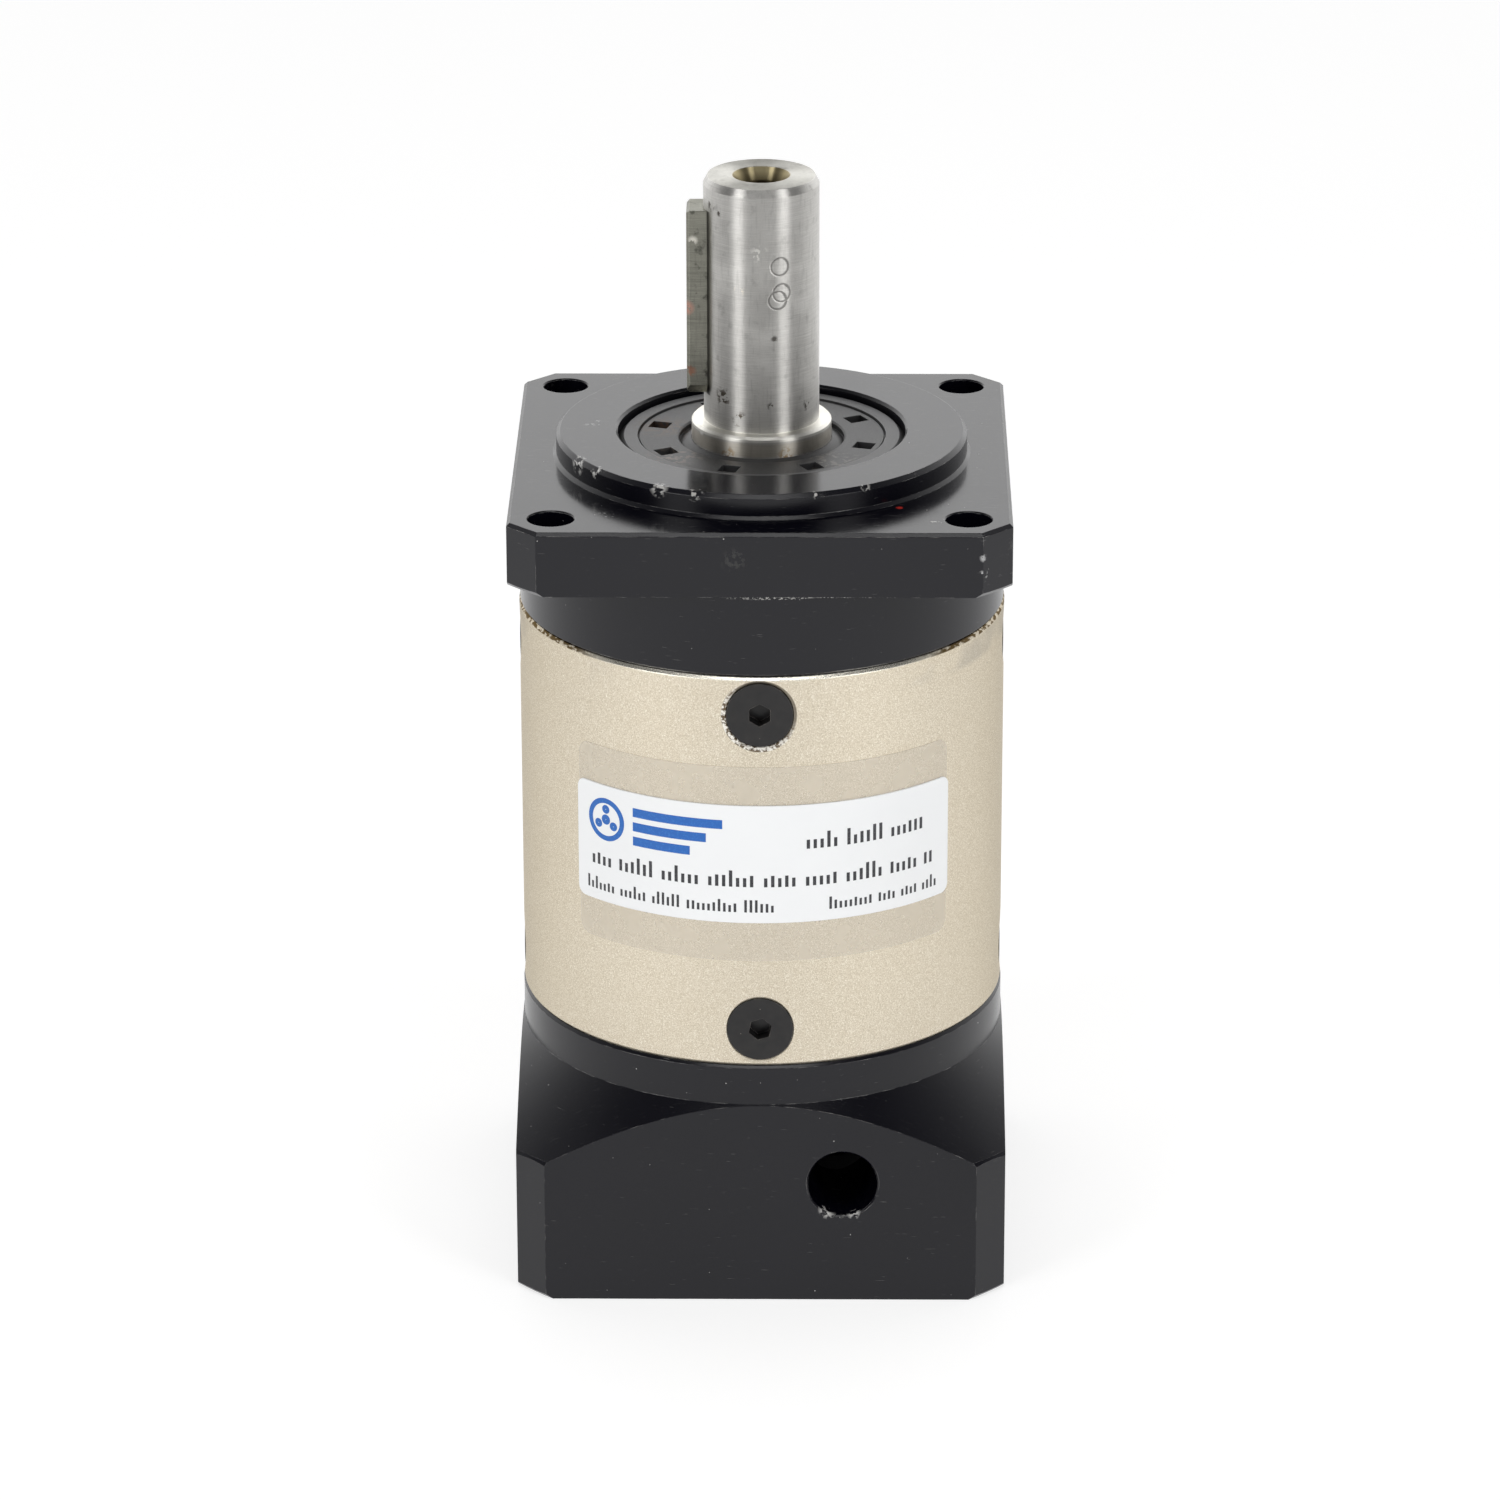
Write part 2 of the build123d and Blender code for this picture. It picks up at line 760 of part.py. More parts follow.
# The output seal: pressed rim, face with moulded pockets, dust lip and spring-loaded lip.
with BuildPart() as output_seal:
    seat = front_bearing[1]
    line_floor = seal_face - seal_line_depth
    lips = [(collar_radius + away, seal_face - depth) for away, depth in dust_and_main_lips]
    add_turned(
        [
            (seat, seal_bottom),
            (seat, seal_top - (seat - seal_rim_outer)),
            (seal_rim_outer, seal_top),
            (seal_rim_inner + seal_line_width, seal_top),
            (seal_rim_inner + seal_line_width, line_floor),
            (seal_rim_inner, line_floor),
            (seal_rim_inner, seal_face),
            (seal_eye_radius + seal_face_drop, seal_face),
            (seal_eye_radius, seal_face - seal_face_drop),
            *lips,
            (lips[-1][0], seal_bottom),
        ]
    )
    with BuildSketch(Plane.XY.offset(seal_face)):
        with PolarLocations(0, pocket_count, start_angle=pocket_start):
            with Locations(((pocket_inner + pocket_outer) / 2, 0)):
                Rectangle(pocket_outer - pocket_inner, pocket_width)
    extrude(amount=-pocket_depth, mode=Mode.SUBTRACT)
write(output_seal, "output_seal")

with BuildPart() as garter_spring:
    with BuildSketch(Plane.XZ):
        with Locations((garter_circle, seal_face - garter_below_face)):
            Circle(garter_wire)
    revolve(axis=Axis.Z)
write(garter_spring, "output_seal_spring")

with BuildPart() as input_seal:
    inside = [(input_radius + away, input_seal_bottom + up) for away, up in input_seal_section]
    add_turned(
        [
            (input_seal_radius, input_seal_bottom),
            (input_seal_radius, input_web_bottom),
            *inside,
        ]
    )
write(input_seal, "input_seal")

# Planet gears, each with its rollers, and the pins and washers that hold them in the carrier.
for number in range(planet_count):
    angle = math.radians(360 / planet_count * number)
    centre = (planet_circle * math.cos(angle), planet_circle * math.sin(angle))
    turn = 360 / planet_count * number
    with BuildPart() as planet:
        with BuildSketch(Plane((*centre, planet_bottom))):
            gear_outline(
                planet_teeth,
                planet_pitch_radius - dedendum * module,
                planet_pitch_radius + module,
                -flank_play,
                turn,
            )
            Circle(planet_bore, mode=Mode.SUBTRACT)
        extrude(amount=planet_top - planet_bottom)
    write(planet, f"planet_gear_{number + 1}")

    with BuildPart() as rollers:
        with BuildSketch(Plane((*centre, planet_bottom + needle_inset))):
            with PolarLocations(needle_pitch, needle_count):
                Circle(needle_radius)
        extrude(amount=planet_top - planet_bottom - 2 * needle_inset)
    write(rollers, f"planet_rollers_{number + 1}")

with BuildPart() as pins:
    with BuildSketch(Plane.XY.offset(rear_cheek_bottom)):
        with PolarLocations(planet_circle, planet_count):
            Circle(pin_radius)
    extrude(amount=pin_top - rear_cheek_bottom)
write(pins, "planet_pins")

with BuildPart() as washers:
    for bottom in (rear_cheek_top, front_cheek_bottom - washer_thickness):
        with BuildSketch(Plane.XY.offset(bottom)):
            with PolarLocations(planet_circle, planet_count):
                Circle(washer_radius)
                Circle(pin_radius, mode=Mode.SUBTRACT)
        extrude(amount=washer_thickness)
write(washers, "planet_thrust_washers")

with BuildPart() as sun_gear:
    with BuildSketch(Plane.XY.offset(sun_collar_top)):
        gear_outline(
            sun_teeth,
            sun_pitch_radius - dedendum * module,
            sun_pitch_radius + module,
            -flank_play,
        )
    extrude(amount=sun_top - sun_collar_top)
    with BuildSketch(Plane.XY.offset(input_top)):
        Circle(sun_collar_radius)
    extrude(amount=sun_collar_top - input_top)
    with BuildSketch(Plane.XY.offset(sun_stub_bottom)):
        Circle(sun_stub_radius)
    extrude(amount=input_top - sun_stub_bottom)
write(sun_gear, "sun_gear")

# The input shaft: split clamp for the motor's shaft, seal and bearing seats, socket for the sun gear.
with BuildPart() as input_shaft:
    add_turned(
        [
            (0, clamp_bottom),
            (clamp_radius, clamp_bottom),
            (clamp_radius, clamp_top),
            (input_radius, clamp_top),
            (input_radius, input_shoulder_bottom),
            (input_ring_shoulder, input_shoulder_bottom),
            (input_ring_shoulder, input_bearing_bottom),
            (input_radius, input_bearing_bottom),
            (input_radius, input_ring_bottom),
            (input_groove_radius, input_ring_bottom),
            (input_groove_radius, input_ring_top),
            (input_radius, input_ring_top),
            (input_radius, input_top),
            (0, input_top),
        ]
    )
    with BuildSketch(Plane.XY.offset(clamp_bottom)):
        Circle(motor_bore_radius)
    extrude(amount=motor_bore_top - clamp_bottom, mode=Mode.SUBTRACT)
    with BuildSketch(Plane.XY.offset(sun_stub_bottom)):
        Circle(sun_stub_radius)
    extrude(amount=input_top - sun_stub_bottom, mode=Mode.SUBTRACT)
    with BuildSketch(Plane.XY.offset(clamp_bottom)):
        with Locations((slit_reach / 2, 0)):
            Rectangle(slit_reach, clamp_slit)
    extrude(amount=clamp_slot_top - clamp_bottom, mode=Mode.SUBTRACT)
    with BuildSketch(Plane.XY.offset(clamp_slot_bottom)):
        with Locations((clamp_slot_reach + slit_reach / 2, 0)):
            Rectangle(slit_reach, 2 * slit_reach)
    extrude(amount=clamp_slot_top - clamp_slot_bottom, mode=Mode.SUBTRACT)
    seat_plane = access_plane.offset(clamp_screw_seat - half_side)
    with BuildSketch(seat_plane):
        Circle(clamp_screw_head_radius + clamp_counterbore_play)
    extrude(amount=clamp_radius, mode=Mode.SUBTRACT)
    with BuildSketch(seat_plane):
        Circle(screw_radius + thread_play)
    extrude(amount=-2 * clamp_radius, mode=Mode.SUBTRACT)
write(input_shaft, "input_shaft")

with BuildPart() as clamp_screw:
    with BuildSketch(seat_plane):
        Circle(clamp_screw_head_radius)
    extrude(amount=clamp_screw_head_height)
    head_rim = clamp_screw.faces().sort_by(Axis.Y)[0].edges()
    chamfer(head_rim, length=clamp_screw_bevel)
    with BuildSketch(seat_plane):
        Circle(screw_radius)
    extrude(amount=-clamp_screw_length)
    with BuildSketch(seat_plane.offset(clamp_screw_head_height)):
        RegularPolygon(clamp_screw_hex / 2 * hex_corner, 6)
    extrude(amount=-clamp_screw_hex_depth, mode=Mode.SUBTRACT)
write(clamp_screw, "clamp_screw")
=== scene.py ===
import math
import random

import bpy
from mathutils import Matrix, Vector


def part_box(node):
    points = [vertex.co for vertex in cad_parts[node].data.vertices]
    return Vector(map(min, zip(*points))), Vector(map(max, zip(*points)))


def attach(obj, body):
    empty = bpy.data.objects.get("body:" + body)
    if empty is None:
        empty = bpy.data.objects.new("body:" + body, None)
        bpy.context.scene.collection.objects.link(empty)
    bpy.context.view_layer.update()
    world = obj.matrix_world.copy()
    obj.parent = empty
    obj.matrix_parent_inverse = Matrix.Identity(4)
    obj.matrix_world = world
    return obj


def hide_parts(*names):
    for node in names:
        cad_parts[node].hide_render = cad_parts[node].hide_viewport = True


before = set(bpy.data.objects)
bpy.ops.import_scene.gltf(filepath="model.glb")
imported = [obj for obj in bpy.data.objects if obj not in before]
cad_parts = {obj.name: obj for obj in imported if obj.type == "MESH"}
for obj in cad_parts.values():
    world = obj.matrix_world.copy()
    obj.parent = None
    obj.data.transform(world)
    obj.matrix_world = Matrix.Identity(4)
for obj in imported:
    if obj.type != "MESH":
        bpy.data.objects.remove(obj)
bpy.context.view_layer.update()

# Driving values. Lengths are in metres, in the CAD frame; angles are in degrees.
MM = 0.001
SEED = 20

# Camera
CAMERA_DISTANCE = 0.852
CAMERA_ELEVATION = 21.56
CAMERA_AZIMUTH = -0.67
CAMERA_ROLL = -0.127
CAMERA_AIM = Vector((-1.5 * MM, 0.0, 60.8 * MM))
CAMERA_NEAR = 0.01
SENSOR_WIDTH = 36.0
LENS = 165.09

# Light
FLOOR_SIZE = 40.0
FLOOR_COLOUR = (0.5, 0.5, 0.5, 1.0)
FLOOR_TINT = 0.98
FLOOR_TINT_SIZE = 0.4
FLOOR_ROUGHNESS = 0.9
FLOOR_SPECULAR = 0.1
FLOOR_GLOW = 0.7
BACKDROP_GLOW = 1.6
CEILING_GLOW = 0.12
FRONT_GLOW = 0.15

# Ranges of the direction's Y over which the surroundings brighten, and of its Z where the ceiling starts
BACKDROP_RANGE = (-0.12, 0.78)
CEILING_RANGE = (0.5, 0.92)

# Lights as (name, azimuth from the camera's side, elevation, distance, width, height, power)
LIGHTS = [
    ("softbox_left", -46.0, 22.0, 1.2, 0.42, 0.9, 4.2),
    ("softbox_right", 46.0, 22.0, 1.2, 0.42, 0.9, 3.9),
    ("bevel_light", 0.0, 66.0, 1.2, 0.8, 0.22, 2.0),
]

# Label and film
SHEET_CORNER = {"name_label": 1.2 * MM, "label_film": 1.6 * MM}
SHEET_COLUMNS = 96
CORNER_COLUMNS = 7
SHEET_SUNK = 0.3 * MM
SHARP_ANGLE = 30.0
LABEL_TURN = 0.8

# Print
PRINT_THICKNESS = 0.012 * MM
PRINT_LIFT = 0.004 * MM

# Lines of greeked print as (left, bottom, width, height), in millimetres from the label's middle
PRINT_LINES = [
    (5.2, 1.9, 16.0, 2.1),
    (-22.6, -2.9, 46.0, 2.1),
    (-23.4, -6.2, 25.5, 1.6),
    (8.0, -6.2, 15.6, 1.6),
]

# Their bars: pitch as a share of the line's height, stroke as a share of the pitch, longest facet in
# millimetres, shares of the line's height drawn from, and bars in a run before a gap may come
BAR_PITCH = 0.4
BAR_STROKE = 0.48
BAR_STEP = 0.7
BAR_HEIGHTS = (0.55, 0.55, 0.7, 1.0)
BAR_RUNS = (3, 5, 8)
GAP_CHANCE = 0.5

# The emblem, in millimetres from the label's middle
EMBLEM_CENTRE = (-20.4, 3.2)
EMBLEM_RING = (2.1, 2.75)
HUB_RADIUS = 0.65
DISC_RADIUS = 0.56
DISC_EYE = 0.05
DISC_CIRCLE = 1.33
DISC_ANGLES = (90, 210, 330)
RING_STEPS = 48
DISC_STEPS = 24
EMBLEM_BAR_WIDTHS = (11.5, 9.5, 7.5)
EMBLEM_BAR_LEFT = -16.4
EMBLEM_BAR_BOTTOM = 4.5
EMBLEM_BAR_PITCH = 1.85
EMBLEM_BAR_HEIGHT = 1.15

# Places on the CAD
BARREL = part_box("ring_gear_barrel")
BARREL_RADIUS = BARREL[1].x
BARREL_TOP = BARREL[1].z
BARREL_FRONT = BARREL[0].y
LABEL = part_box("name_label")
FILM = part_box("label_film")
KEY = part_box("shaft_key")
HOUSING_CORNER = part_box("output_housing")[1]
HALF_SIDE = HOUSING_CORNER.x
PILOT_TOP = HOUSING_CORNER.z
PILOT_RADIUS = 25.0 * MM
FLANGE_BOTTOM = 92.0 * MM
SCREW_HEIGHT = 76.9 * MM
SEAL_RIM = (14.9 * MM, 17.0 * MM)
SEAL_TOP = 102.2 * MM
COLLAR_TOP = 104.5 * MM
SHAFT_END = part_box("output_shaft")[1].z
HOLE_RADIUS = 3.5 * MM
SCREW_SPOT = Vector((0.0, BARREL_FRONT, SCREW_HEIGHT))
LEDGE_DUST = Vector((6.0 * MM, BARREL_FRONT, FLANGE_BOTTOM))
LABEL_MIDDLE = (LABEL_TURN * math.pi / 180 * BARREL_RADIUS, (LABEL[0].z + LABEL[1].z) / 2)
PRINT_RADIUS = -LABEL[0].y + PRINT_LIFT

# Rings round the upper screw, as near and far radius, the first for the painted shade at the
# countersink's rim, and the way to the scuff's strongest side
SCREW_SHADE_RING = (3.9 * MM, 4.42 * MM)
SCUFF_RING = (3.98 * MM, 4.6 * MM)
SCUFF_WAY = Vector((-0.6, 0.0, -0.8))

# Half the width and the fade of the round marks on the shaft, in millimetres
RING_MARK_HALF = 0.03
RING_MARK_FADE = 0.15

# Colours. A pair holds the two that a finish varies between.
ANODISED = ((0.0008, 0.0008, 0.0035, 1), (0.0026, 0.0024, 0.006, 1))
BARED = (0.5, 0.49, 0.47, 1)
CHAMPAGNE = ((0.7, 0.62, 0.485, 1), (0.725, 0.65, 0.52, 1))
CHAMPAGNE_GLINT = (0.95, 0.9, 0.79, 1)
CHAMPAGNE_GRAIN = (0.46, 0.39, 0.28, 1)
CHAMPAGNE_STAIN = (0.3, 0.24, 0.16, 1)
CHAMPAGNE_SPOT = (0.14, 0.11, 0.08, 1)
CHAMPAGNE_EDGE = (0.85, 0.78, 0.62, 1)
CHAMPAGNE_RIM_TINT = (0.42, 0.4, 0.36, 1)
# Ragged darker band on the sides of the top edge's lip
LIP_SIDE_DARK = (0.16, 0.11, 0.05, 1)
# Near white for the top edge's lip: partly rubbing, partly a painted highlight
LIP_WEAR_AND_HIGHLIGHT = (1.0, 0.96, 0.84, 1)
SMUDGE = (0.3, 0.29, 0.28, 1)
# Painted shade in the gap round the upper screw's head
SCREW_GAP_SHADE = (0.07, 0.055, 0.04, 1)
SCUFF = ((0.9, 0.87, 0.8, 1), (0.16, 0.12, 0.08, 1))
# Shaft's centre hole: near black deep down as painted shade, a golden stain near the mouth
HOLE_SHADE_AND_GREASE = ((0.03, 0.022, 0.01, 1), (0.4, 0.34, 0.2, 1))
# Painted highlight on the collar's top bevel
COLLAR_HIGHLIGHT = (0.93, 0.91, 0.84, 1)
# Brownish tone over the collar's lowest 1.3 mm, just above the seal
COLLAR_LOW_BROWN = (0.42, 0.36, 0.26, 1)
# Painted shadow: near black for the line on the shaft along the key's sides, where the key fits its slot
# without a gap
KEY_SHADOW_LINE = (0.01, 0.009, 0.008, 1)
RING_MARK = (0.08, 0.075, 0.07, 1)
OXIDE = ((0.009, 0.009, 0.01, 1), (0.03, 0.028, 0.027, 1))
OXIDE_WORN = (0.42, 0.38, 0.33, 1)
RUBBER = ((0.022, 0.022, 0.023, 1), (0.045, 0.045, 0.046, 1))
# Pale grey for dust on the seal, and for the painted highlight on its raised rim
RUBBER_DUST_AND_SHEEN = (0.36, 0.36, 0.37, 1)
PAPER = ((0.91, 0.92, 0.93, 1), (0.94, 0.95, 0.955, 1))
PAPER_SOIL = (0.55, 0.53, 0.48, 1)
FILM_HAZE = ((0.8, 0.75, 0.66, 1), (0.86, 0.81, 0.72, 1))
DARK_INK = ((0.03, 0.03, 0.035, 1), (0.1, 0.1, 0.11, 1))
BLUE_INK = ((0.01, 0.13, 0.5, 1), (0.03, 0.2, 0.6, 1))
WHITE = (1, 1, 1, 1)

# Chips in the anodising as (spot, reach): on the flange's edges, the pilot's rim and the access hole
NICKS = [
    (Vector((HALF_SIDE, -26.4 * MM, PILOT_TOP - 6 * MM)), 1.6 * MM),
    (Vector((HALF_SIDE, 10 * MM, PILOT_TOP - 3 * MM)), 2.0 * MM),
    (Vector((-22.0 * MM, -11.5 * MM, PILOT_TOP)), 1.3 * MM),
    (Vector((-19.5 * MM, -15.4 * MM, PILOT_TOP)), 1.5 * MM),
    (Vector((18.2 * MM, -17.0 * MM, PILOT_TOP)), 1.3 * MM),
    (Vector((7.0 * MM, -24.0 * MM, PILOT_TOP)), 1.0 * MM),
    (Vector((10.0 * MM, 0.6 * MM - HALF_SIDE, 11.3 * MM)), 1.5 * MM),
    (Vector((-26.0 * MM, 26.0 * MM, PILOT_TOP - 3 * MM)), 2.0 * MM),
]

# Ragged marks as (spot in millimetres, reach in millimetres, colour, how broken up)
BLACK_BLEMISHES = [
    ((16.6, -20.7, 100.0), 0.55, (0.5, 0.03, 0.02), 0.35),
    ((-12.0, -21.7, 102.8), 1.3, (0.55, 0.54, 0.52), 0.5),
    ((-7.7, -23.6, 102.9), 1.2, (0.5, 0.49, 0.47), 0.53),
    ((6.8, -23.9, 102.9), 0.8, (0.5, 0.49, 0.47), 0.54),
    ((12.6, -21.4, 103.0), 0.8, (0.5, 0.49, 0.47), 0.52),
    ((8.2, -29.6, 12.1), 1.3, (0.6, 0.59, 0.57), 0.5),
    ((11.4, -29.6, 11.7), 1.0, (0.6, 0.59, 0.57), 0.52),
    ((-22.2, -11.9, 102.4), 1.6, (0.7, 0.69, 0.67), 0.53),
    ((-19.8, -15.2, 102.7), 1.1, (0.7, 0.69, 0.67), 0.55),
    ((-20.5, 1.5, 103.0), 1.6, (0.22, 0.22, 0.22), 0.57),
    ((-3.0, -30.0, 96.6), 1.8, (0.025, 0.025, 0.025), 0.5),
    ((26.5, -30.0, 94.8), 0.9, (0.4, 0.4, 0.4), 0.56),
    ((26.5, -30.0, 97.0), 0.6, (0.4, 0.4, 0.4), 0.5),
    ((-18.0, -23.5, 100.0), 1.6, (0.3, 0.3, 0.3), 0.58),
    ((21.0, -25.5, 100.0), 1.4, (0.4, 0.39, 0.37), 0.6),
]
SEAL_BLEMISHES = [
    ((-12.0, 3.0, 102.0), 4.5, (0.07, 0.045, 0.03), 0.46),
    ((-10.5, -8.0, 102.0), 4.0, (0.16, 0.13, 0.11), 0.52),
    ((9.0, -9.5, 102.0), 4.0, (0.12, 0.11, 0.1), 0.54),
    ((-5.0, 11.0, 102.0), 4.0, (0.09, 0.06, 0.045), 0.5),
]
SHAFT_BLEMISHES = [
    ((-0.2, -7.0, 127.2), 1.3, (0.8, 0.79, 0.75), 0.54),
    ((-6.0, -3.6, 132.2), 0.9, (0.1, 0.09, 0.08), 0.5),
    ((-5.0, -4.9, 131.6), 0.5, (0.1, 0.09, 0.08), 0.48),
    ((-2.6, -6.5, 122.5), 0.8, (0.75, 0.7, 0.6), 0.54),
    ((1.6, -6.8, 116.5), 0.5, (0.14, 0.13, 0.12), 0.48),
    ((1.2, -6.9, 108.0), 0.6, (0.14, 0.13, 0.12), 0.5),
    ((5.6, -4.2, 107.4), 1.0, (0.12, 0.11, 0.1), 0.54),
    ((-4.6, -5.3, 108.6), 1.5, (0.1, 0.085, 0.07), 0.5),
    ((-2.6, -6.5, 106.2), 1.2, (0.12, 0.1, 0.08), 0.54),
    ((3.0, -8.0, 102.2), 1.2, (0.28, 0.19, 0.11), 0.48),
    ((-4.0, -7.5, 102.2), 1.2, (0.3, 0.2, 0.12), 0.5),
    ((-7.2, -4.4, 104.0), 0.6, (0.95, 0.94, 0.92), 0.35),
]
KEY_BLEMISHES = [
    ((-9.0, -2.5, 119.0), 1.1, (0.42, 0.24, 0.19), 0.4),
    ((-8.6, -2.5, 111.0), 0.9, (0.3, 0.17, 0.12), 0.48),
    ((-8.2, -2.5, 127.5), 0.7, (0.6, 0.58, 0.52), 0.45),
]
SHAFT_RING_MARKS = [
    ((2.28, -6.62, 125.5), 1.1),
    ((2.5, -6.54, 122.2), 1.1),
    ((2.0, -6.71, 121.3), 1.1),
]

# Metals by slot, as arguments of metal()
METALS = {
    "ground_steel": {
        "dark": (0.46, 0.45, 0.43, 1),
        "light": (0.60, 0.59, 0.565, 1),
        "roughness": 0.38,
        "turned": 0.002,
        "anisotropy": 0.92,
        "spots": 0.22,
        # Level faces darkened as painted shade
        "level": 0.85,
        "blemishes": SHAFT_BLEMISHES,
        "ring_marks": SHAFT_RING_MARKS,
        "on_shaft": True,
    },
    "key_steel": {
        "dark": (0.16, 0.16, 0.135, 1),
        "light": (0.27, 0.265, 0.225, 1),
        "roughness": 0.4,
        "spots": 0.8,
        "edge": 0.9,
        "blemishes": KEY_BLEMISHES,
    },
    "gear_steel": {
        "dark": (0.3, 0.29, 0.28, 1),
        "light": (0.44, 0.43, 0.42, 1),
        "roughness": 0.32,
        "spots": 0.2,
    },
    "bearing_steel": {"dark": (0.6, 0.6, 0.6, 1), "light": (0.72, 0.72, 0.72, 1), "roughness": 0.14},
    "cage_steel": {"dark": (0.42, 0.4, 0.36, 1), "light": (0.55, 0.53, 0.49, 1), "roughness": 0.34},
    "spring_steel": {"dark": (0.1, 0.1, 0.11, 1), "light": (0.2, 0.2, 0.21, 1), "roughness": 0.4},
    "bronze": {"dark": (0.5, 0.33, 0.15, 1), "light": (0.66, 0.46, 0.23, 1), "roughness": 0.3},
}


# Small tools for building node trees


def node(tree, kind, inputs=None, **settings):
    """Adds a node. inputs maps socket names or numbers to values or to other sockets."""
    made = tree.nodes.new(kind)
    for name, value in settings.items():
        setattr(made, name, value)
    for name, value in (inputs or {}).items():
        plug(tree, made.inputs[name], value)
    return made


def plug(tree, socket, value):
    """Links a socket to another, or sets its value."""
    if isinstance(value, bpy.types.NodeSocket):
        tree.links.new(value, socket)
    else:
        socket.default_value = value


def calc(tree, operation, a, b=0.0):
    """The result of a maths node."""
    return node(tree, "ShaderNodeMath", {0: a, 1: b}, operation=operation).outputs[0]


def times(tree, *factors):
    """The product of two or more values."""
    product = factors[0]
    for factor in factors[1:]:
        product = calc(tree, "MULTIPLY", product, factor)
    return product


def vector_calc(tree, operation, a, b=None, result="Value"):
    """A vector maths node's number, or its vector where result is "Vector"."""
    inputs = {0: a} if b is None else {0: a, 1: b}
    return node(tree, "ShaderNodeVectorMath", inputs, operation=operation).outputs[result]


def span(tree, value, low, high, to_low=0.0, to_high=1.0):
    """Maps low..high to to_low..to_high, and holds the ends."""
    inputs = {"Value": value, "From Min": low, "From Max": high, "To Min": to_low, "To Max": to_high}
    return node(tree, "ShaderNodeMapRange", inputs).outputs[0]


def blend_colour(tree, share, a, b, kind="MIX"):
    """Colour a with this share of colour b mixed or multiplied in."""
    made = node(tree, "ShaderNodeMix", data_type="RGBA", blend_type=kind)
    plug(tree, made.inputs[0], share)
    plug(tree, made.inputs[6], a)
    plug(tree, made.inputs[7], b)
    return made.outputs[2]


def layered(tree, colour, layers):
    """The colour with each (share, colour) layer mixed in, first to last."""
    for share, layer in layers:
        colour = blend_colour(tree, share, colour, layer)
    return colour


def toned(colour, gain, lift=0.0):
    """An opaque colour scaled by a gain and raised by a lift, at most 1."""
    return tuple(min(1.0, c * gain + lift) for c in colour[:3]) + (1,)


def place(tree):
    """The point's own place on its piece, in metres."""
    return node(tree, "ShaderNodeTexCoord").outputs["Object"]


def stretch(tree, vector, scale, turn=(0.0, 0.0, 0.0)):
    """The vector turned and then scaled along each axis."""
    inputs = {"Vector": vector, "Scale": scale, "Rotation": [math.radians(t) for t in turn]}
    return node(tree, "ShaderNodeMapping", inputs).outputs[0]


def noise(tree, vector, size, detail=2.0, roughness=0.5):
    """Noise whose blotches are about this many metres across."""
    inputs = {"Vector": vector, "Scale": 1 / size, "Detail": detail, "Roughness": roughness}
    return node(tree, "ShaderNodeTexNoise", inputs).outputs["Fac"]


def specks(tree, vector, pitch, share, radius):
    """Round dots: one in each cell of this pitch, kept in this share of the cells."""
    cells = node(tree, "ShaderNodeTexVoronoi", {"Vector": vector, "Scale": 1 / pitch})
    picked = node(tree, "ShaderNodeSeparateColor", {0: cells.outputs["Color"]}).outputs[0]
    kept = calc(tree, "LESS_THAN", picked, share)
    dot = span(tree, cells.outputs["Distance"], radius * 0.6, radius, 1.0, 0.0)
    return times(tree, dot, kept)


def facing_up(tree):
    """1 on level faces, 0 on upright ones."""
    normal = node(tree, "ShaderNodeNewGeometry").outputs["True Normal"]
    return span(tree, calc(tree, "ABSOLUTE", axes_of(tree, normal)["Z"]), 0.75, 0.9)


def scratches(tree, vector, level, turn, length, width, rarity):
    """Straight hairlines of about this length and width, on level faces or on upright ones."""
    scale = (1 / length, 1 / width, 1 / length) if level else (1 / length, 1 / length, 1 / width)
    lines = noise(tree, stretch(tree, vector, scale, turn), 1.0, detail=1.0)
    up = facing_up(tree)
    shown = up if level else calc(tree, "SUBTRACT", 1.0, up)
    return times(tree, shown, span(tree, lines, rarity, rarity + 0.03))


def near(tree, vector, spot, reach):
    """1 at a spot, falling to 0 at this reach."""
    gap = vector_calc(tree, "DISTANCE", vector, spot)
    return span(tree, gap, reach * 0.4, reach, 1.0, 0.0)


def blemished(tree, vector, colour, blemishes):
    """The colour with ragged marks on it, each given as (spot, reach, colour, how broken up)."""
    ragged = noise(tree, vector, 0.7 * MM, 4.0)
    for spot, reach, mark, broken in blemishes:
        shape = span(tree, ragged, broken, broken + 0.05)
        patch = times(tree, near(tree, vector, Vector(spot) * MM, reach * MM), shape)
        colour = blend_colour(tree, patch, colour, (*mark, 1))
    return colour


def axes_of(tree, vector):
    """The vector's X, Y and Z, by name."""
    return node(tree, "ShaderNodeSeparateXYZ", {0: vector}).outputs


def from_axis(tree, vector):
    """The point's distance from the shafts' axis."""
    axes = axes_of(tree, vector)
    flat = node(tree, "ShaderNodeCombineXYZ", {0: axes["X"], 1: axes["Y"]}).outputs[0]
    return vector_calc(tree, "LENGTH", flat)


def band(tree, value, low, high, fade):
    """1 from low to high, falling to 0 over this much outside them."""
    rise = span(tree, value, low - fade, low)
    fall = span(tree, value, high, high + fade, 1.0, 0.0)
    return times(tree, rise, fall)


def edges(tree, radius):
    """1 along sharp edges, 0 on faces, with the softened normal."""
    soft = node(tree, "ShaderNodeBevel", {"Radius": radius}, samples=6).outputs[0]
    true = node(tree, "ShaderNodeNewGeometry").outputs["Normal"]
    agree = vector_calc(tree, "DOT_PRODUCT", soft, true)
    return span(tree, agree, 0.995, 0.86, 0.0, 1.0), soft


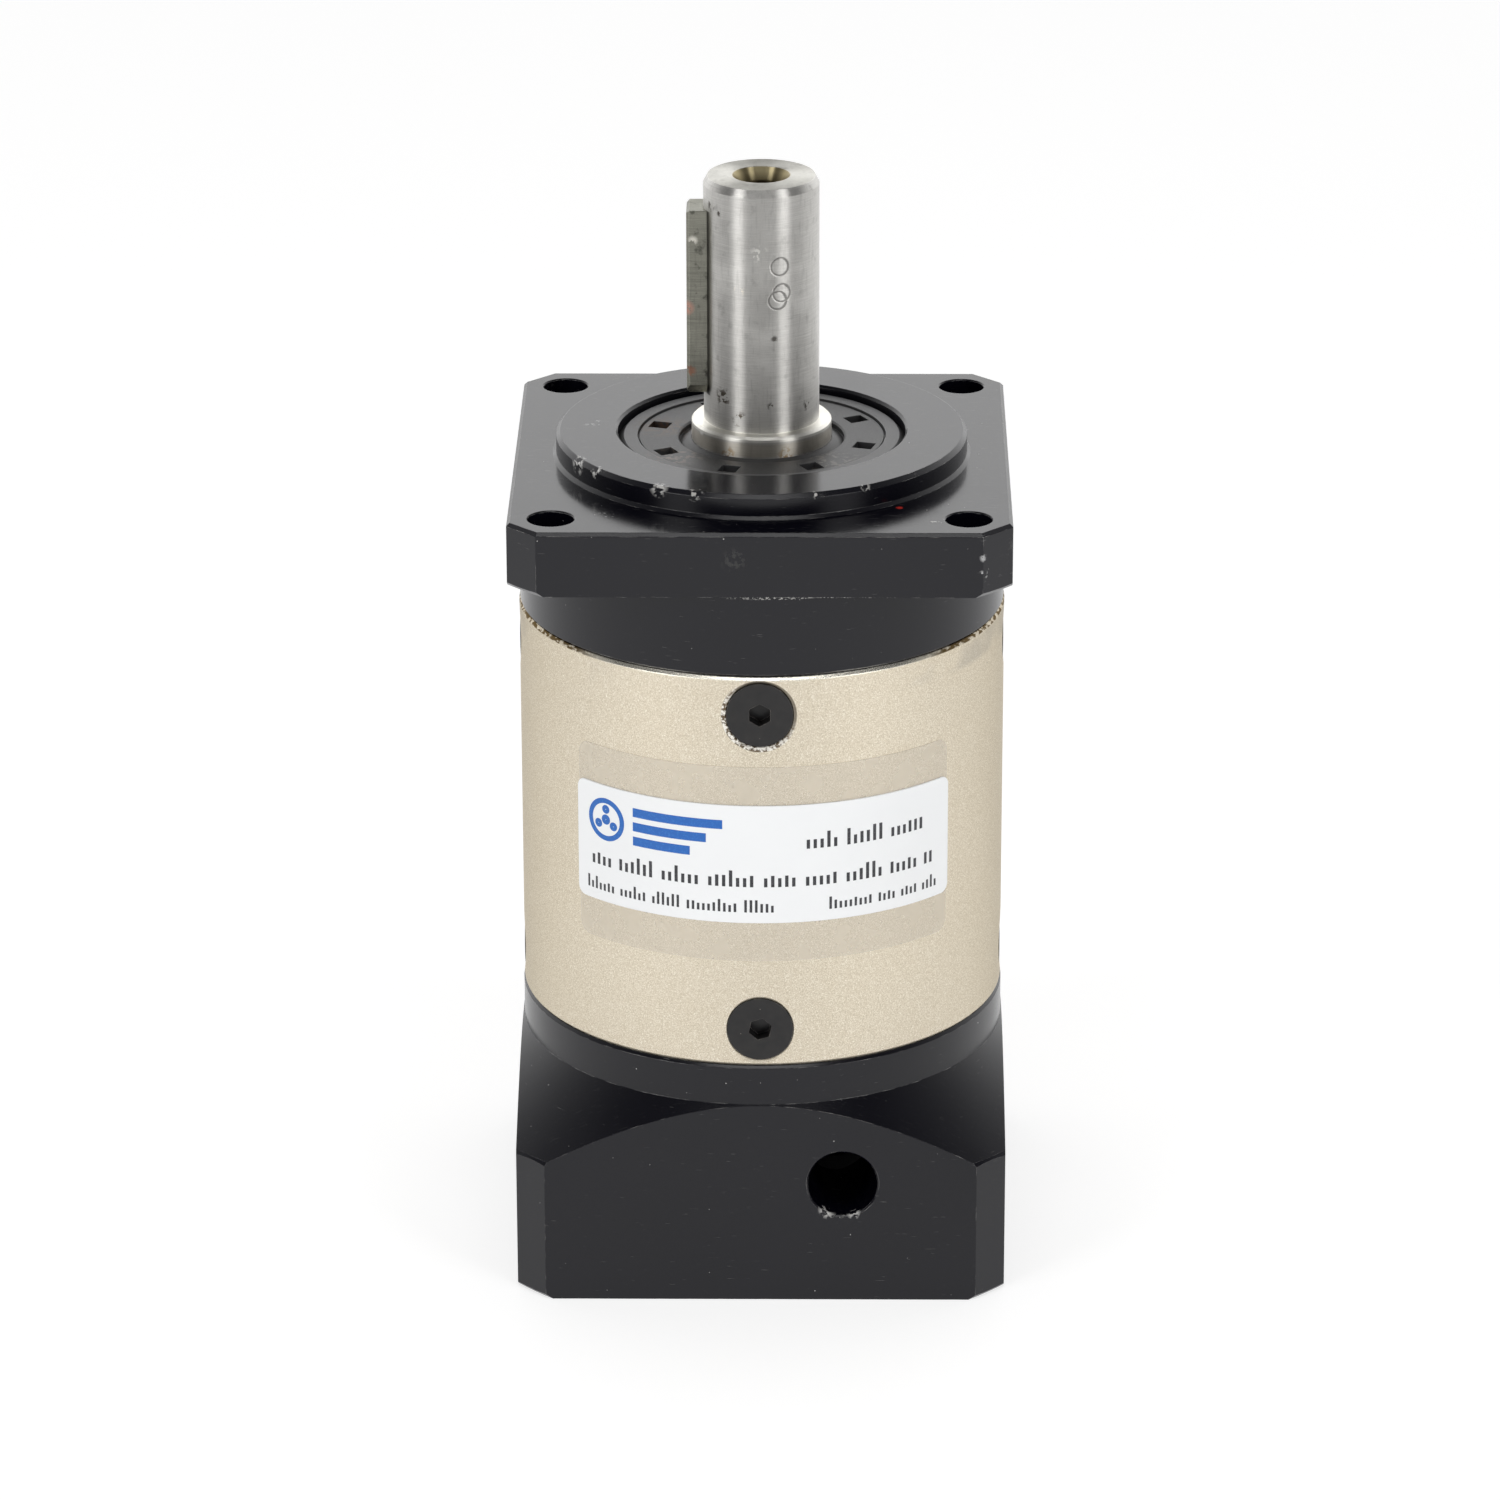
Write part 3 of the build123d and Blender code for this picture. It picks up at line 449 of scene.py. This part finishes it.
def bump(tree, height, depth, normal):
    """The normal with this height, of this depth in metres, on it."""
    inputs = {"Height": height, "Distance": depth, "Strength": 1.0, "Normal": normal}
    return node(tree, "ShaderNodeBump", inputs).outputs[0]


def highest(tree, *values):
    """The largest of the values."""
    most = values[0]
    for value in values[1:]:
        most = calc(tree, "MAXIMUM", most, value)
    return most


def round_axis(tree):
    """The direction of turning lines round Z."""
    return node(tree, "ShaderNodeTangent", direction_type="RADIAL", axis="Z").outputs[0]


def new_finish(name):
    """A material with an empty tree, and its surface shader."""
    material = bpy.data.materials.new(name)
    material.use_nodes = True
    tree = material.node_tree
    tree.nodes.clear()
    shader = node(tree, "ShaderNodeBsdfPrincipled")
    node(tree, "ShaderNodeOutputMaterial", {"Surface": shader.outputs[0]})
    return material, tree, shader


def set_shader(tree, shader, **values):
    """Sets or links sockets of the surface shader, named with underscores for spaces."""
    for name, value in values.items():
        plug(tree, shader.inputs[name.replace("_", " ")], value)


# Finishes


def chips(tree, at, worn):
    """Nicks in the anodising, strongest along worn edges."""
    broken = span(tree, noise(tree, at, 0.6 * MM, 4.0), 0.55, 0.62)
    on_edge = span(tree, worn, 0.0, 0.5, 0.06, 1.0)
    return highest(tree, *(times(tree, near(tree, at, *nick), broken, on_edge) for nick in NICKS))


def ledge_dust(tree, at):
    """Pale dust along the front of the flange's lower edge."""
    ledge = band(tree, axes_of(tree, at)["Z"], FLANGE_BOTTOM - 0.35 * MM, FLANGE_BOTTOM, 0.1 * MM)
    broken = span(tree, noise(tree, at, 0.3 * MM, 2.0), 0.52, 0.6)
    return times(tree, ledge, near(tree, at, LEDGE_DUST, 11 * MM), broken)


def black_anodised():
    """Satin black anodising: fine grain, dust, hairlines, nicks and worn edges."""
    material, tree, shader = new_finish("black_anodised_finish")
    at = place(tree)
    worn, soft = edges(tree, 0.12 * MM)
    grain = noise(tree, at, 0.09 * MM, 3.0)
    cloud = noise(tree, at, 9 * MM, 3.0)
    rubbed = times(tree, worn, span(tree, noise(tree, at, 2.2 * MM, 3.0), 0.5, 0.66))
    lines = highest(
        tree,
        scratches(tree, at, True, (0, 0, 24), 2.4 * MM, 0.04 * MM, 0.75),
        scratches(tree, at, True, (0, 0, -51), 1.8 * MM, 0.035 * MM, 0.76),
        scratches(tree, at, False, (14, 19, 0), 2.0 * MM, 0.04 * MM, 0.78),
    )
    marks = highest(
        tree,
        times(tree, rubbed, 0.7),
        times(tree, lines, 0.35),
        specks(tree, at, 2.2 * MM, 0.2, 0.04),
        chips(tree, at, worn),
        times(tree, specks(tree, at, 0.9 * MM, 0.05, 0.07), 0.6),
        ledge_dust(tree, at),
    )
    colour = blend_colour(tree, marks, blend_colour(tree, cloud, *ANODISED), BARED)
    level = facing_up(tree)
    gloss = calc(tree, "SUBTRACT", span(tree, cloud, 0.3, 0.7, 0.19, 0.25), times(tree, level, 0.06))
    height = calc(tree, "SUBTRACT", times(tree, grain, 0.25), marks)
    on_pilot = span(tree, from_axis(tree, at), PILOT_RADIUS + 0.4 * MM, PILOT_RADIUS)
    set_shader(
        tree,
        shader,
        Base_Color=blemished(tree, at, colour, BLACK_BLEMISHES),
        Roughness=calc(tree, "MAXIMUM", gloss, times(tree, marks, 0.5)),
        IOR=1.44,
        Anisotropic=times(tree, level, on_pilot, 0.45),
        Anisotropic_Rotation=0.25,
        Tangent=round_axis(tree),
        Normal=bump(tree, height, 0.006 * MM, soft),
    )
    return material


def screw_scuff(tree, at, ragged, mottled):
    """Layers round the front's upper screw: painted shade at the countersink's rim, and the scuffed
    ring, mostly at its lower left.
    """
    from_screw = vector_calc(tree, "SUBTRACT", at, SCREW_SPOT, "Vector")
    gap = vector_calc(tree, "LENGTH", from_screw)
    low_left = vector_calc(tree, "DOT_PRODUCT", from_screw, SCUFF_WAY)
    scuff = times(
        tree,
        band(tree, gap, *SCUFF_RING, 0.08 * MM),
        span(tree, low_left, -2.0 * MM, 1.5 * MM),
        span(tree, ragged, 0.3, 0.36),
    )
    return [
        # Painted shade: a dark ring at the countersink's rim
        (times(tree, band(tree, gap, *SCREW_SHADE_RING, 0.06 * MM), 0.75), SCREW_GAP_SHADE),
        (scuff, blend_colour(tree, span(tree, mottled, 0.45, 0.55), *SCUFF)),
    ]


def champagne_plate():
    """Champagne metallic coat over blasted steel, with speckle, stains and smudges, a ragged darker band
    on the top edge's sides, and the top edge's lip rubbed and painted near white as a highlight away
    from the sides.
    """
    material, tree, shader = new_finish("champagne_plate_finish")
    at = place(tree)
    axes = axes_of(tree, at)
    worn, soft = edges(tree, 0.15 * MM)
    speckle = noise(tree, at, 0.13 * MM, 2.0, 0.7)
    mottled = noise(tree, at, 0.5 * MM, 3.0, 0.6)
    cloud = noise(tree, at, 12 * MM, 3.0)
    ragged = noise(tree, stretch(tree, at, (1.0, 1.0, 2.0)), 0.9 * MM, 4.0)
    sideways = span(tree, calc(tree, "ABSOLUTE", axes["X"]), 17 * MM, 22 * MM)
    lip = span(tree, axes["Z"], BARREL_TOP - 0.45 * MM, BARREL_TOP - 0.36 * MM)
    # Painted highlight, partly rubbing: the top edge's lip made near white and a little smoother away
    # from the sides
    rubbed = times(tree, lip, calc(tree, "SUBTRACT", 1.0, sideways))
    under_lip = band(tree, axes["Z"], BARREL_TOP - 3.0 * MM, BARREL_TOP - 0.8 * MM, 0.8 * MM)
    layers = [
        (span(tree, speckle, 0.52, 0.66), CHAMPAGNE_GLINT),
        (span(tree, speckle, 0.48, 0.34, 0.0, 0.6), CHAMPAGNE_GRAIN),
        (times(tree, specks(tree, at, 0.8 * MM, 0.12, 0.09), 0.4), CHAMPAGNE_STAIN),
        (times(tree, specks(tree, at, 3.4 * MM, 0.14, 0.05), 0.75), CHAMPAGNE_SPOT),
        (times(tree, worn, 0.5), CHAMPAGNE_EDGE),
        (times(tree, lip, sideways, span(tree, ragged, 0.46, 0.52)), LIP_SIDE_DARK),
        (rubbed, LIP_WEAR_AND_HIGHLIGHT),
        (times(tree, under_lip, span(tree, cloud, 0.48, 0.62), sideways, 0.3), SMUDGE),
    ]
    layers += screw_scuff(tree, at, ragged, mottled)
    grained = span(tree, speckle, 0.3, 0.7, 0.4, 0.54)
    set_shader(
        tree,
        shader,
        Base_Color=layered(tree, blend_colour(tree, cloud, *CHAMPAGNE), layers),
        Metallic=0.82,
        Roughness=calc(tree, "SUBTRACT", grained, times(tree, rubbed, 0.22)),
        Normal=bump(tree, calc(tree, "ADD", times(tree, speckle, 0.7), mottled), 0.018 * MM, soft),
    )
    shader.inputs["Specular Tint"].default_value = CHAMPAGNE_RIM_TINT
    return material


def shaft_layers(tree, at):
    """Layers of the output shaft: its centre hole, in painted shade deeper down and golden near the
    mouth, a painted highlight on the collar's top, a brownish tone on the collar's lowest part, and a
    painted shadow line beside the key.
    """
    axes = axes_of(tree, at)
    # The centre hole's colour runs from painted shade deep down to a golden stain near the mouth
    hole = span(tree, from_axis(tree, at), HOLE_RADIUS * 1.02, HOLE_RADIUS * 0.98)
    mouth = span(tree, axes["Z"], SHAFT_END - 1.9 * MM, SHAFT_END - 0.5 * MM)
    # Painted highlight: a pale band over the collar's top 0.55 mm
    collar_highlight = band(tree, axes["Z"], COLLAR_TOP - 0.55 * MM, COLLAR_TOP, 0.15 * MM)
    # Brownish tone over the collar's lowest part
    collar_low = band(tree, axes["Z"], SEAL_TOP, SEAL_TOP + 1.3 * MM, 0.4 * MM)
    # Painted shadow line on the shaft along both sides of the key
    shade_beside_key = times(
        tree,
        band(tree, calc(tree, "ABSOLUTE", axes["Y"]), 2.4 * MM, 3.0 * MM, 0.4 * MM),
        span(tree, axes["X"], -5.6 * MM, -6.0 * MM),
        band(tree, axes["Z"], KEY[0].z, KEY[1].z, 0.1 * MM),
        0.85,
    )
    return [
        (hole, blend_colour(tree, mouth, *HOLE_SHADE_AND_GREASE)),
        (times(tree, collar_highlight, 0.7), COLLAR_HIGHLIGHT),
        (times(tree, collar_low, 0.4), COLLAR_LOW_BROWN),
        (shade_beside_key, KEY_SHADOW_LINE),
    ]


def ring_dents(tree, at, ring_marks):
    """1 on shallow round marks, each given as (spot, radius) in millimetres."""
    dents = []
    for spot, radius in ring_marks:
        gap = vector_calc(tree, "DISTANCE", at, Vector(spot) * MM)
        near_side, far_side = (radius - RING_MARK_HALF) * MM, (radius + RING_MARK_HALF) * MM
        dents.append(band(tree, gap, near_side, far_side, RING_MARK_FADE * MM))
    return highest(tree, *dents)


def metal(
    name,
    dark,
    light,
    roughness,
    turned=0.0,
    anisotropy=0.0,
    spots=0.0,
    edge=0.5,
    level=1.0,
    blemishes=(),
    ring_marks=(),
    on_shaft=False,
):
    """Bare or thinly coated steel.

    turned is the added depth of its turning lines round Z in millimetres, spots the strength of
    stains, pits and rubs, edge the brightness of worn edges, and level a painted shade, the factor that
    level faces' colour is multiplied by.
    """
    material, tree, shader = new_finish(name)
    at = place(tree)
    worn, soft = edges(tree, 0.1 * MM)
    cloud = noise(tree, at, 4 * MM, 3.0)
    grain = noise(tree, at, 0.12 * MM, 2.0)
    lines = noise(tree, stretch(tree, at, (0.02, 0.02, 1.0)), 0.07 * MM, 3.0, 0.7)
    rubs = noise(tree, stretch(tree, at, (1.0, 1.0, 0.12)), 0.35 * MM, 3.0, 0.6)
    stain = times(tree, span(tree, noise(tree, at, 1.4 * MM, 4.0), 0.6, 0.72), spots)
    pits = times(tree, specks(tree, at, 1.3 * MM, 0.12, 0.07), spots)
    soiled = highest(tree, stain, pits)
    texture = calc(tree, "ADD", times(tree, lines, 0.8), times(tree, grain, 0.2))
    layers = [
        (span(tree, rubs, 0.52, 0.7, 0.0, min(0.35, spots * 2.5)), toned(dark, 0.72)),
        (soiled, toned(dark, 0.35)),
        (times(tree, worn, edge), toned(light, 1.5, 0.08)),
    ]
    colour = blend_colour(tree, span(tree, texture, 0.35, 0.65), dark, light)
    colour = layered(tree, colour, layers)
    # Painted shade: the colour of level faces multiplied by level
    colour = blend_colour(tree, facing_up(tree), colour, (level, level, 0.96 * level, 1), "MULTIPLY")
    colour = blemished(tree, at, colour, blemishes)
    if on_shaft:
        colour = layered(tree, colour, shaft_layers(tree, at))
    if ring_marks:
        dent = ring_dents(tree, at, ring_marks)
        colour = blend_colour(tree, times(tree, dent, 0.6), colour, RING_MARK)
        texture = calc(tree, "SUBTRACT", texture, times(tree, dent, 9.0))
    rough = span(tree, cloud, 0.3, 0.7, roughness * 0.85, roughness * 1.2)
    set_shader(
        tree,
        shader,
        Base_Color=colour,
        Metallic=1.0,
        Roughness=calc(tree, "ADD", rough, times(tree, soiled, 0.25)),
        Anisotropic=anisotropy,
        Normal=bump(tree, texture, (0.002 + turned) * MM, soft),
    )
    if anisotropy:
        set_shader(tree, shader, Tangent=round_axis(tree), Anisotropic_Rotation=0.25)
    return material


def black_oxide():
    """Oil-black screws with worn, slightly brown edges."""
    material, tree, shader = new_finish("black_oxide_finish")
    at = place(tree)
    worn, soft = edges(tree, 0.14 * MM)
    cloud = noise(tree, at, 1.2 * MM, 4.0)
    grain = noise(tree, at, 0.1 * MM, 3.0)
    dust = specks(tree, at, 0.8 * MM, 0.12, 0.08)
    black = blend_colour(tree, cloud, *OXIDE)
    rubbed = times(tree, worn, span(tree, cloud, 0.4, 0.6, 0.1, 0.5))
    marks = highest(tree, rubbed, dust)
    height = calc(tree, "ADD", cloud, times(tree, grain, 0.3))
    colour = blend_colour(tree, times(tree, marks, 0.6), black, OXIDE_WORN)
    set_shader(
        tree,
        shader,
        Base_Color=colour,
        Metallic=0.35,
        Roughness=span(tree, cloud, 0.3, 0.7, 0.28, 0.42),
        Normal=bump(tree, height, 0.01 * MM, soft),
    )
    return material


def seal_rubber():
    """Moulded nitrile with a matt face, a little dust, and a raised rim painted paler as a highlight."""
    material, tree, shader = new_finish("seal_rubber_finish")
    at = place(tree)
    worn, soft = edges(tree, 0.12 * MM)
    cloud = noise(tree, at, 2.4 * MM, 4.0)
    grain = noise(tree, at, 0.11 * MM, 3.0)
    dust = specks(tree, at, 0.7 * MM, 0.1, 0.07)
    black = blend_colour(tree, cloud, *RUBBER)
    marks = highest(tree, times(tree, worn, 0.22), times(tree, dust, 0.6))
    # Painted highlight: the raised rim mixed a little towards pale grey
    rim = band(tree, from_axis(tree, at), *SEAL_RIM, 0.1 * MM)
    colour = layered(tree, black, [(marks, RUBBER_DUST_AND_SHEEN), (times(tree, rim, 0.16), RUBBER_DUST_AND_SHEEN)])
    colour = blemished(tree, at, colour, SEAL_BLEMISHES)
    set_shader(
        tree,
        shader,
        Base_Color=colour,
        Roughness=span(tree, grain, 0.3, 0.7, 0.34, 0.5),
        IOR=1.5,
        Normal=bump(tree, calc(tree, "ADD", cloud, grain), 0.012 * MM, soft),
    )
    return material


def coated_paper():
    """White coated label stock, very slightly mottled, with soiled edges."""
    material, tree, shader = new_finish("label_paper_finish")
    at = place(tree)
    cloud = noise(tree, at, 5 * MM, 3.0)
    fibre = noise(tree, at, 0.2 * MM, 3.0)
    worn, soft = edges(tree, 0.12 * MM)
    white = blend_colour(tree, cloud, *PAPER)
    colour = blend_colour(tree, times(tree, worn, 0.3), white, PAPER_SOIL)
    set_shader(
        tree,
        shader,
        Base_Color=colour,
        Roughness=span(tree, fibre, 0.3, 0.7, 0.34, 0.46),
        IOR=1.45,
        Normal=bump(tree, fibre, 0.004 * MM, soft),
    )
    return material


def clear_film():
    """Clear adhesive film: nearly the barrel's own colour, a touch smoother, with a visible rim."""
    material, tree, shader = new_finish("clear_film_finish")
    at = place(tree)
    worn, soft = edges(tree, 0.06 * MM)
    haze = noise(tree, at, 3 * MM, 3.0)
    set_shader(
        tree,
        shader,
        Base_Color=blend_colour(tree, haze, *FILM_HAZE),
        Roughness=span(tree, haze, 0.3, 0.7, 0.28, 0.4),
        IOR=1.45,
        Alpha=span(tree, worn, 0.0, 1.0, 0.3, 0.7),
        Normal=bump(tree, haze, 0.004 * MM, soft),
    )
    return material


def ink(name, colour, faded):
    """Printing ink with slightly uneven cover."""
    material, tree, shader = new_finish(name)
    cover = noise(tree, place(tree), 0.25 * MM, 3.0)
    set_shader(
        tree,
        shader,
        Base_Color=blend_colour(tree, span(tree, cover, 0.5, 0.8), colour, faded),
        Roughness=span(tree, cover, 0.3, 0.7, 0.35, 0.5),
        Normal=edges(tree, 0.02 * MM)[1],
    )
    return material


finishes = {
    "black_anodised": black_anodised(),
    "champagne_plate": champagne_plate(),
    "black_oxide": black_oxide(),
    "seal_rubber": seal_rubber(),
    "label_paper": coated_paper(),
    "clear_film": clear_film(),
}
for slot_name, values in METALS.items():
    finishes[slot_name] = metal(f"{slot_name}_finish", **values)
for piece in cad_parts.values():
    for held in piece.material_slots:
        held.material = finishes[held.material.name.split(".")[0]]


# Camera


def make_camera():
    """The scene's camera, at the driving values."""
    azimuth = math.radians(CAMERA_AZIMUTH)
    elevation = math.radians(CAMERA_ELEVATION)
    ahead = Vector(
        (
            math.sin(azimuth) * math.cos(elevation),
            math.cos(azimuth) * math.cos(elevation),
            -math.sin(elevation),
        )
    )
    rolled = Matrix.Rotation(math.radians(-CAMERA_ROLL), 3, ahead)
    right = rolled @ Vector((math.cos(azimuth), -math.sin(azimuth), 0.0))
    up = right.cross(ahead)
    camera = bpy.data.objects.new("camera", bpy.data.cameras.new("camera"))
    camera.data.sensor_width = SENSOR_WIDTH
    camera.data.lens = LENS
    camera.data.clip_start = CAMERA_NEAR
    camera.matrix_world = Matrix.Translation(CAMERA_AIM - CAMERA_DISTANCE * ahead) @ (
        Matrix((right, up, -ahead)).transposed().to_4x4()
    )
    bpy.context.scene.collection.objects.link(camera)
    bpy.context.scene.camera = camera


make_camera()


# Floor and light


def new_piece(name, points, faces, finish):
    """A mesh object from points and faces."""
    mesh = bpy.data.meshes.new(name)
    mesh.from_pydata(points, [], faces)
    mesh.update()
    mesh.shade_smooth()
    mesh.set_sharp_from_angle(angle=math.radians(SHARP_ANGLE))
    mesh.materials.append(finish)
    piece = bpy.data.objects.new(name, mesh)
    bpy.context.scene.collection.objects.link(piece)
    return piece


def floor_finish():
    """A pale floor with a very faint tint and a glow."""
    material, tree, shader = new_finish("floor_finish")
    tint = noise(tree, place(tree), FLOOR_TINT_SIZE, 2.0)
    set_shader(
        tree,
        shader,
        Base_Color=blend_colour(tree, tint, FLOOR_COLOUR, toned(FLOOR_COLOUR, FLOOR_TINT)),
        Roughness=FLOOR_ROUGHNESS,
        Emission_Color=WHITE,
        Emission_Strength=FLOOR_GLOW,
    )
    shader.inputs["Specular IOR Level"].default_value = FLOOR_SPECULAR
    return material


reach = FLOOR_SIZE / 2
floor = new_piece(
    "floor",
    [(-reach, -reach, 0), (reach, -reach, 0), (reach, reach, 0), (-reach, reach, 0)],
    [(0, 1, 2, 3)],
    floor_finish(),
)


def make_world():
    """White surroundings: brightest behind the object, dimmer in front and overhead."""
    world = bpy.data.worlds.new("studio")
    bpy.context.scene.world = world
    world.use_nodes = True
    tree = world.node_tree
    tree.nodes.clear()
    way = node(tree, "ShaderNodeTexCoord").outputs["Generated"]
    axes = axes_of(tree, way)
    level = span(tree, axes["Y"], *BACKDROP_RANGE, FRONT_GLOW, BACKDROP_GLOW)
    roof = span(tree, axes["Z"], *CEILING_RANGE)
    strength = node(tree, "ShaderNodeMix", {0: roof, 2: level, 3: CEILING_GLOW}).outputs[0]
    back = node(tree, "ShaderNodeBackground", {"Color": WHITE, "Strength": strength})
    node(tree, "ShaderNodeOutputWorld", {"Surface": back.outputs[0]})


def make_light(name, azimuth, elevation, distance, width, height, power):
    """A soft rectangle of light aimed at the object."""
    light = bpy.data.lights.new(name, "AREA")
    light.shape = "RECTANGLE"
    light.size = width
    light.size_y = height
    light.energy = power
    lamp = bpy.data.objects.new(name, light)
    side, rise = math.radians(azimuth), math.radians(elevation)
    way = Vector((math.sin(side) * math.cos(rise), -math.cos(side) * math.cos(rise), math.sin(rise)))
    lamp.location = CAMERA_AIM + distance * way
    lamp.rotation_euler = (-way).to_track_quat("-Z", "Y").to_euler()
    lamp.visible_camera = False
    bpy.context.scene.collection.objects.link(lamp)


make_world()
for light in LIGHTS:
    make_light(*light)
bpy.context.scene.view_settings.view_transform = "Standard"


# Label, film and print, wrapped round the barrel


def wrapped(across, up, radius):
    """The point on the barrel at this arc length from the front and this height."""
    angle = across / BARREL_RADIUS
    return (radius * math.sin(angle), -radius * math.cos(angle), up)


def add_patch(points, faces, grid, inner, outer):
    """Adds a thin closed shell over a grid of (across, up) points, from radius inner to outer."""
    rows, columns = len(grid), len(grid[0])
    start = len(points)
    for radius in (inner, outer):
        points.extend(wrapped(across, up, radius) for row in grid for across, up in row)
    layer = rows * columns

    def at(row, column, side):
        return start + side * layer + row * columns + column

    for row in range(rows - 1):
        for column in range(columns - 1):
            corners = ((row, column), (row, column + 1), (row + 1, column + 1), (row + 1, column))
            faces.append([at(*c, 1) for c in corners])
            faces.append([at(*c, 0) for c in reversed(corners)])
    rim = [(0, c) for c in range(columns - 1)]
    rim += [(r, columns - 1) for r in range(rows - 1)]
    rim += [(rows - 1, c) for c in range(columns - 1, 0, -1)]
    rim += [(r, 0) for r in range(rows - 1, 0, -1)]
    for here, after in zip(rim, rim[1:] + rim[:1]):
        faces.append([at(*here, 0), at(*after, 0), at(*after, 1), at(*here, 1)])


def rounded_grid(middle, size, corner):
    """The low and the high edge of a rounded rectangle, as two rows of points."""
    width, height = size
    marks = [
        -width / 2 + corner * (1 - math.cos(math.pi / 2 * step / CORNER_COLUMNS))
        for step in range(CORNER_COLUMNS)
    ]
    marks += [
        -width / 2 + corner + (width - 2 * corner) * step / SHEET_COLUMNS
        for step in range(SHEET_COLUMNS + 1)
    ]
    marks += [-mark for mark in reversed(marks[:CORNER_COLUMNS])]
    low, high = [], []
    for mark in marks:
        inset = max(0.0, abs(mark) - (width / 2 - corner))
        drop = corner - math.sqrt(max(corner**2 - inset**2, 0.0))
        low.append((middle[0] + mark, middle[1] - height / 2 + drop))
        high.append((middle[0] + mark, middle[1] + height / 2 - drop))
    return [low, high]


def new_sheet(name, node_name, box, finish):
    """A label or film as a thin shell lying on the barrel, in place of the CAD's faceted one."""
    outer = -box[0].y
    low_turn, high_turn = (math.asin(corner.x / outer) * BARREL_RADIUS for corner in box)
    middle = ((low_turn + high_turn) / 2, (box[0].z + box[1].z) / 2)
    points, faces = [], []
    grid = rounded_grid(middle, (high_turn - low_turn, box[1].z - box[0].z), SHEET_CORNER[node_name])
    add_patch(points, faces, grid, BARREL_RADIUS - SHEET_SUNK, outer)
    sheet = new_piece(name, points, faces, finish)
    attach(sheet, "root")
    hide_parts(node_name)
    return sheet


film_sheet = new_sheet("film_sheet", "label_film", FILM, finishes["clear_film"])
label_sheet = new_sheet("label_sheet", "name_label", LABEL, finishes["label_paper"])


def print_bar(points, faces, left, bottom, width, height):
    """One printed bar, in millimetres from the label's middle."""
    x, z = LABEL_MIDDLE[0] + left * MM, LABEL_MIDDLE[1] + bottom * MM
    facets = math.ceil(width / BAR_STEP)
    marks = [width * MM * facet / facets for facet in range(facets + 1)]
    grid = [[(x + mark, level) for mark in marks] for level in (z, z + height * MM)]
    add_patch(points, faces, grid, PRINT_RADIUS, PRINT_RADIUS + PRINT_THICKNESS)


def greeked_lines():
    """Lines of plain upright bars in place of lettering."""
    draw = random.Random(SEED)
    points, faces = [], []
    for left, bottom, width, height in PRINT_LINES:
        pitch = BAR_PITCH * height
        run = 0
        for step in range(int(width / pitch)):
            if run > draw.choice(BAR_RUNS) and draw.random() < GAP_CHANCE:
                run = 0
                continue
            run += 1
            tall = height * draw.choice(BAR_HEIGHTS)
            print_bar(points, faces, left + step * pitch, bottom, pitch * BAR_STROKE, tall)
    return new_piece("label_print", points, faces, ink("dark_ink", *DARK_INK))


def ring_grid(middle, inner, outer, steps):
    """A flat ring as its outer and inner rows of points, with its radii in millimetres."""
    turns = [2 * math.pi * step / steps for step in range(steps + 1)]
    return [
        [(middle[0] + r * MM * math.cos(t), middle[1] + r * MM * math.sin(t)) for t in turns]
        for r in (outer, inner)
    ]


def generic_mark():
    """A plain blue emblem: a ring with a hub and three discs in it, and three bars beside it."""
    points, faces = [], []
    centre = (LABEL_MIDDLE[0] + EMBLEM_CENTRE[0] * MM, LABEL_MIDDLE[1] + EMBLEM_CENTRE[1] * MM)
    grids = [
        ring_grid(centre, *EMBLEM_RING, RING_STEPS),
        ring_grid(centre, DISC_EYE, HUB_RADIUS, DISC_STEPS),
    ]
    for turn in DISC_ANGLES:
        spot = (
            centre[0] + DISC_CIRCLE * MM * math.cos(math.radians(turn)),
            centre[1] + DISC_CIRCLE * MM * math.sin(math.radians(turn)),
        )
        grids.append(ring_grid(spot, DISC_EYE, DISC_RADIUS, DISC_STEPS))
    for grid in grids:
        add_patch(points, faces, grid, PRINT_RADIUS, PRINT_RADIUS + PRINT_THICKNESS)
    for step, width in enumerate(EMBLEM_BAR_WIDTHS):
        bottom = EMBLEM_BAR_BOTTOM - step * EMBLEM_BAR_PITCH
        print_bar(points, faces, EMBLEM_BAR_LEFT, bottom, width, EMBLEM_BAR_HEIGHT)
    return new_piece("label_mark", points, faces, ink("blue_ink", *BLUE_INK))


for made in (greeked_lines(), generic_mark()):
    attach(made, "root")
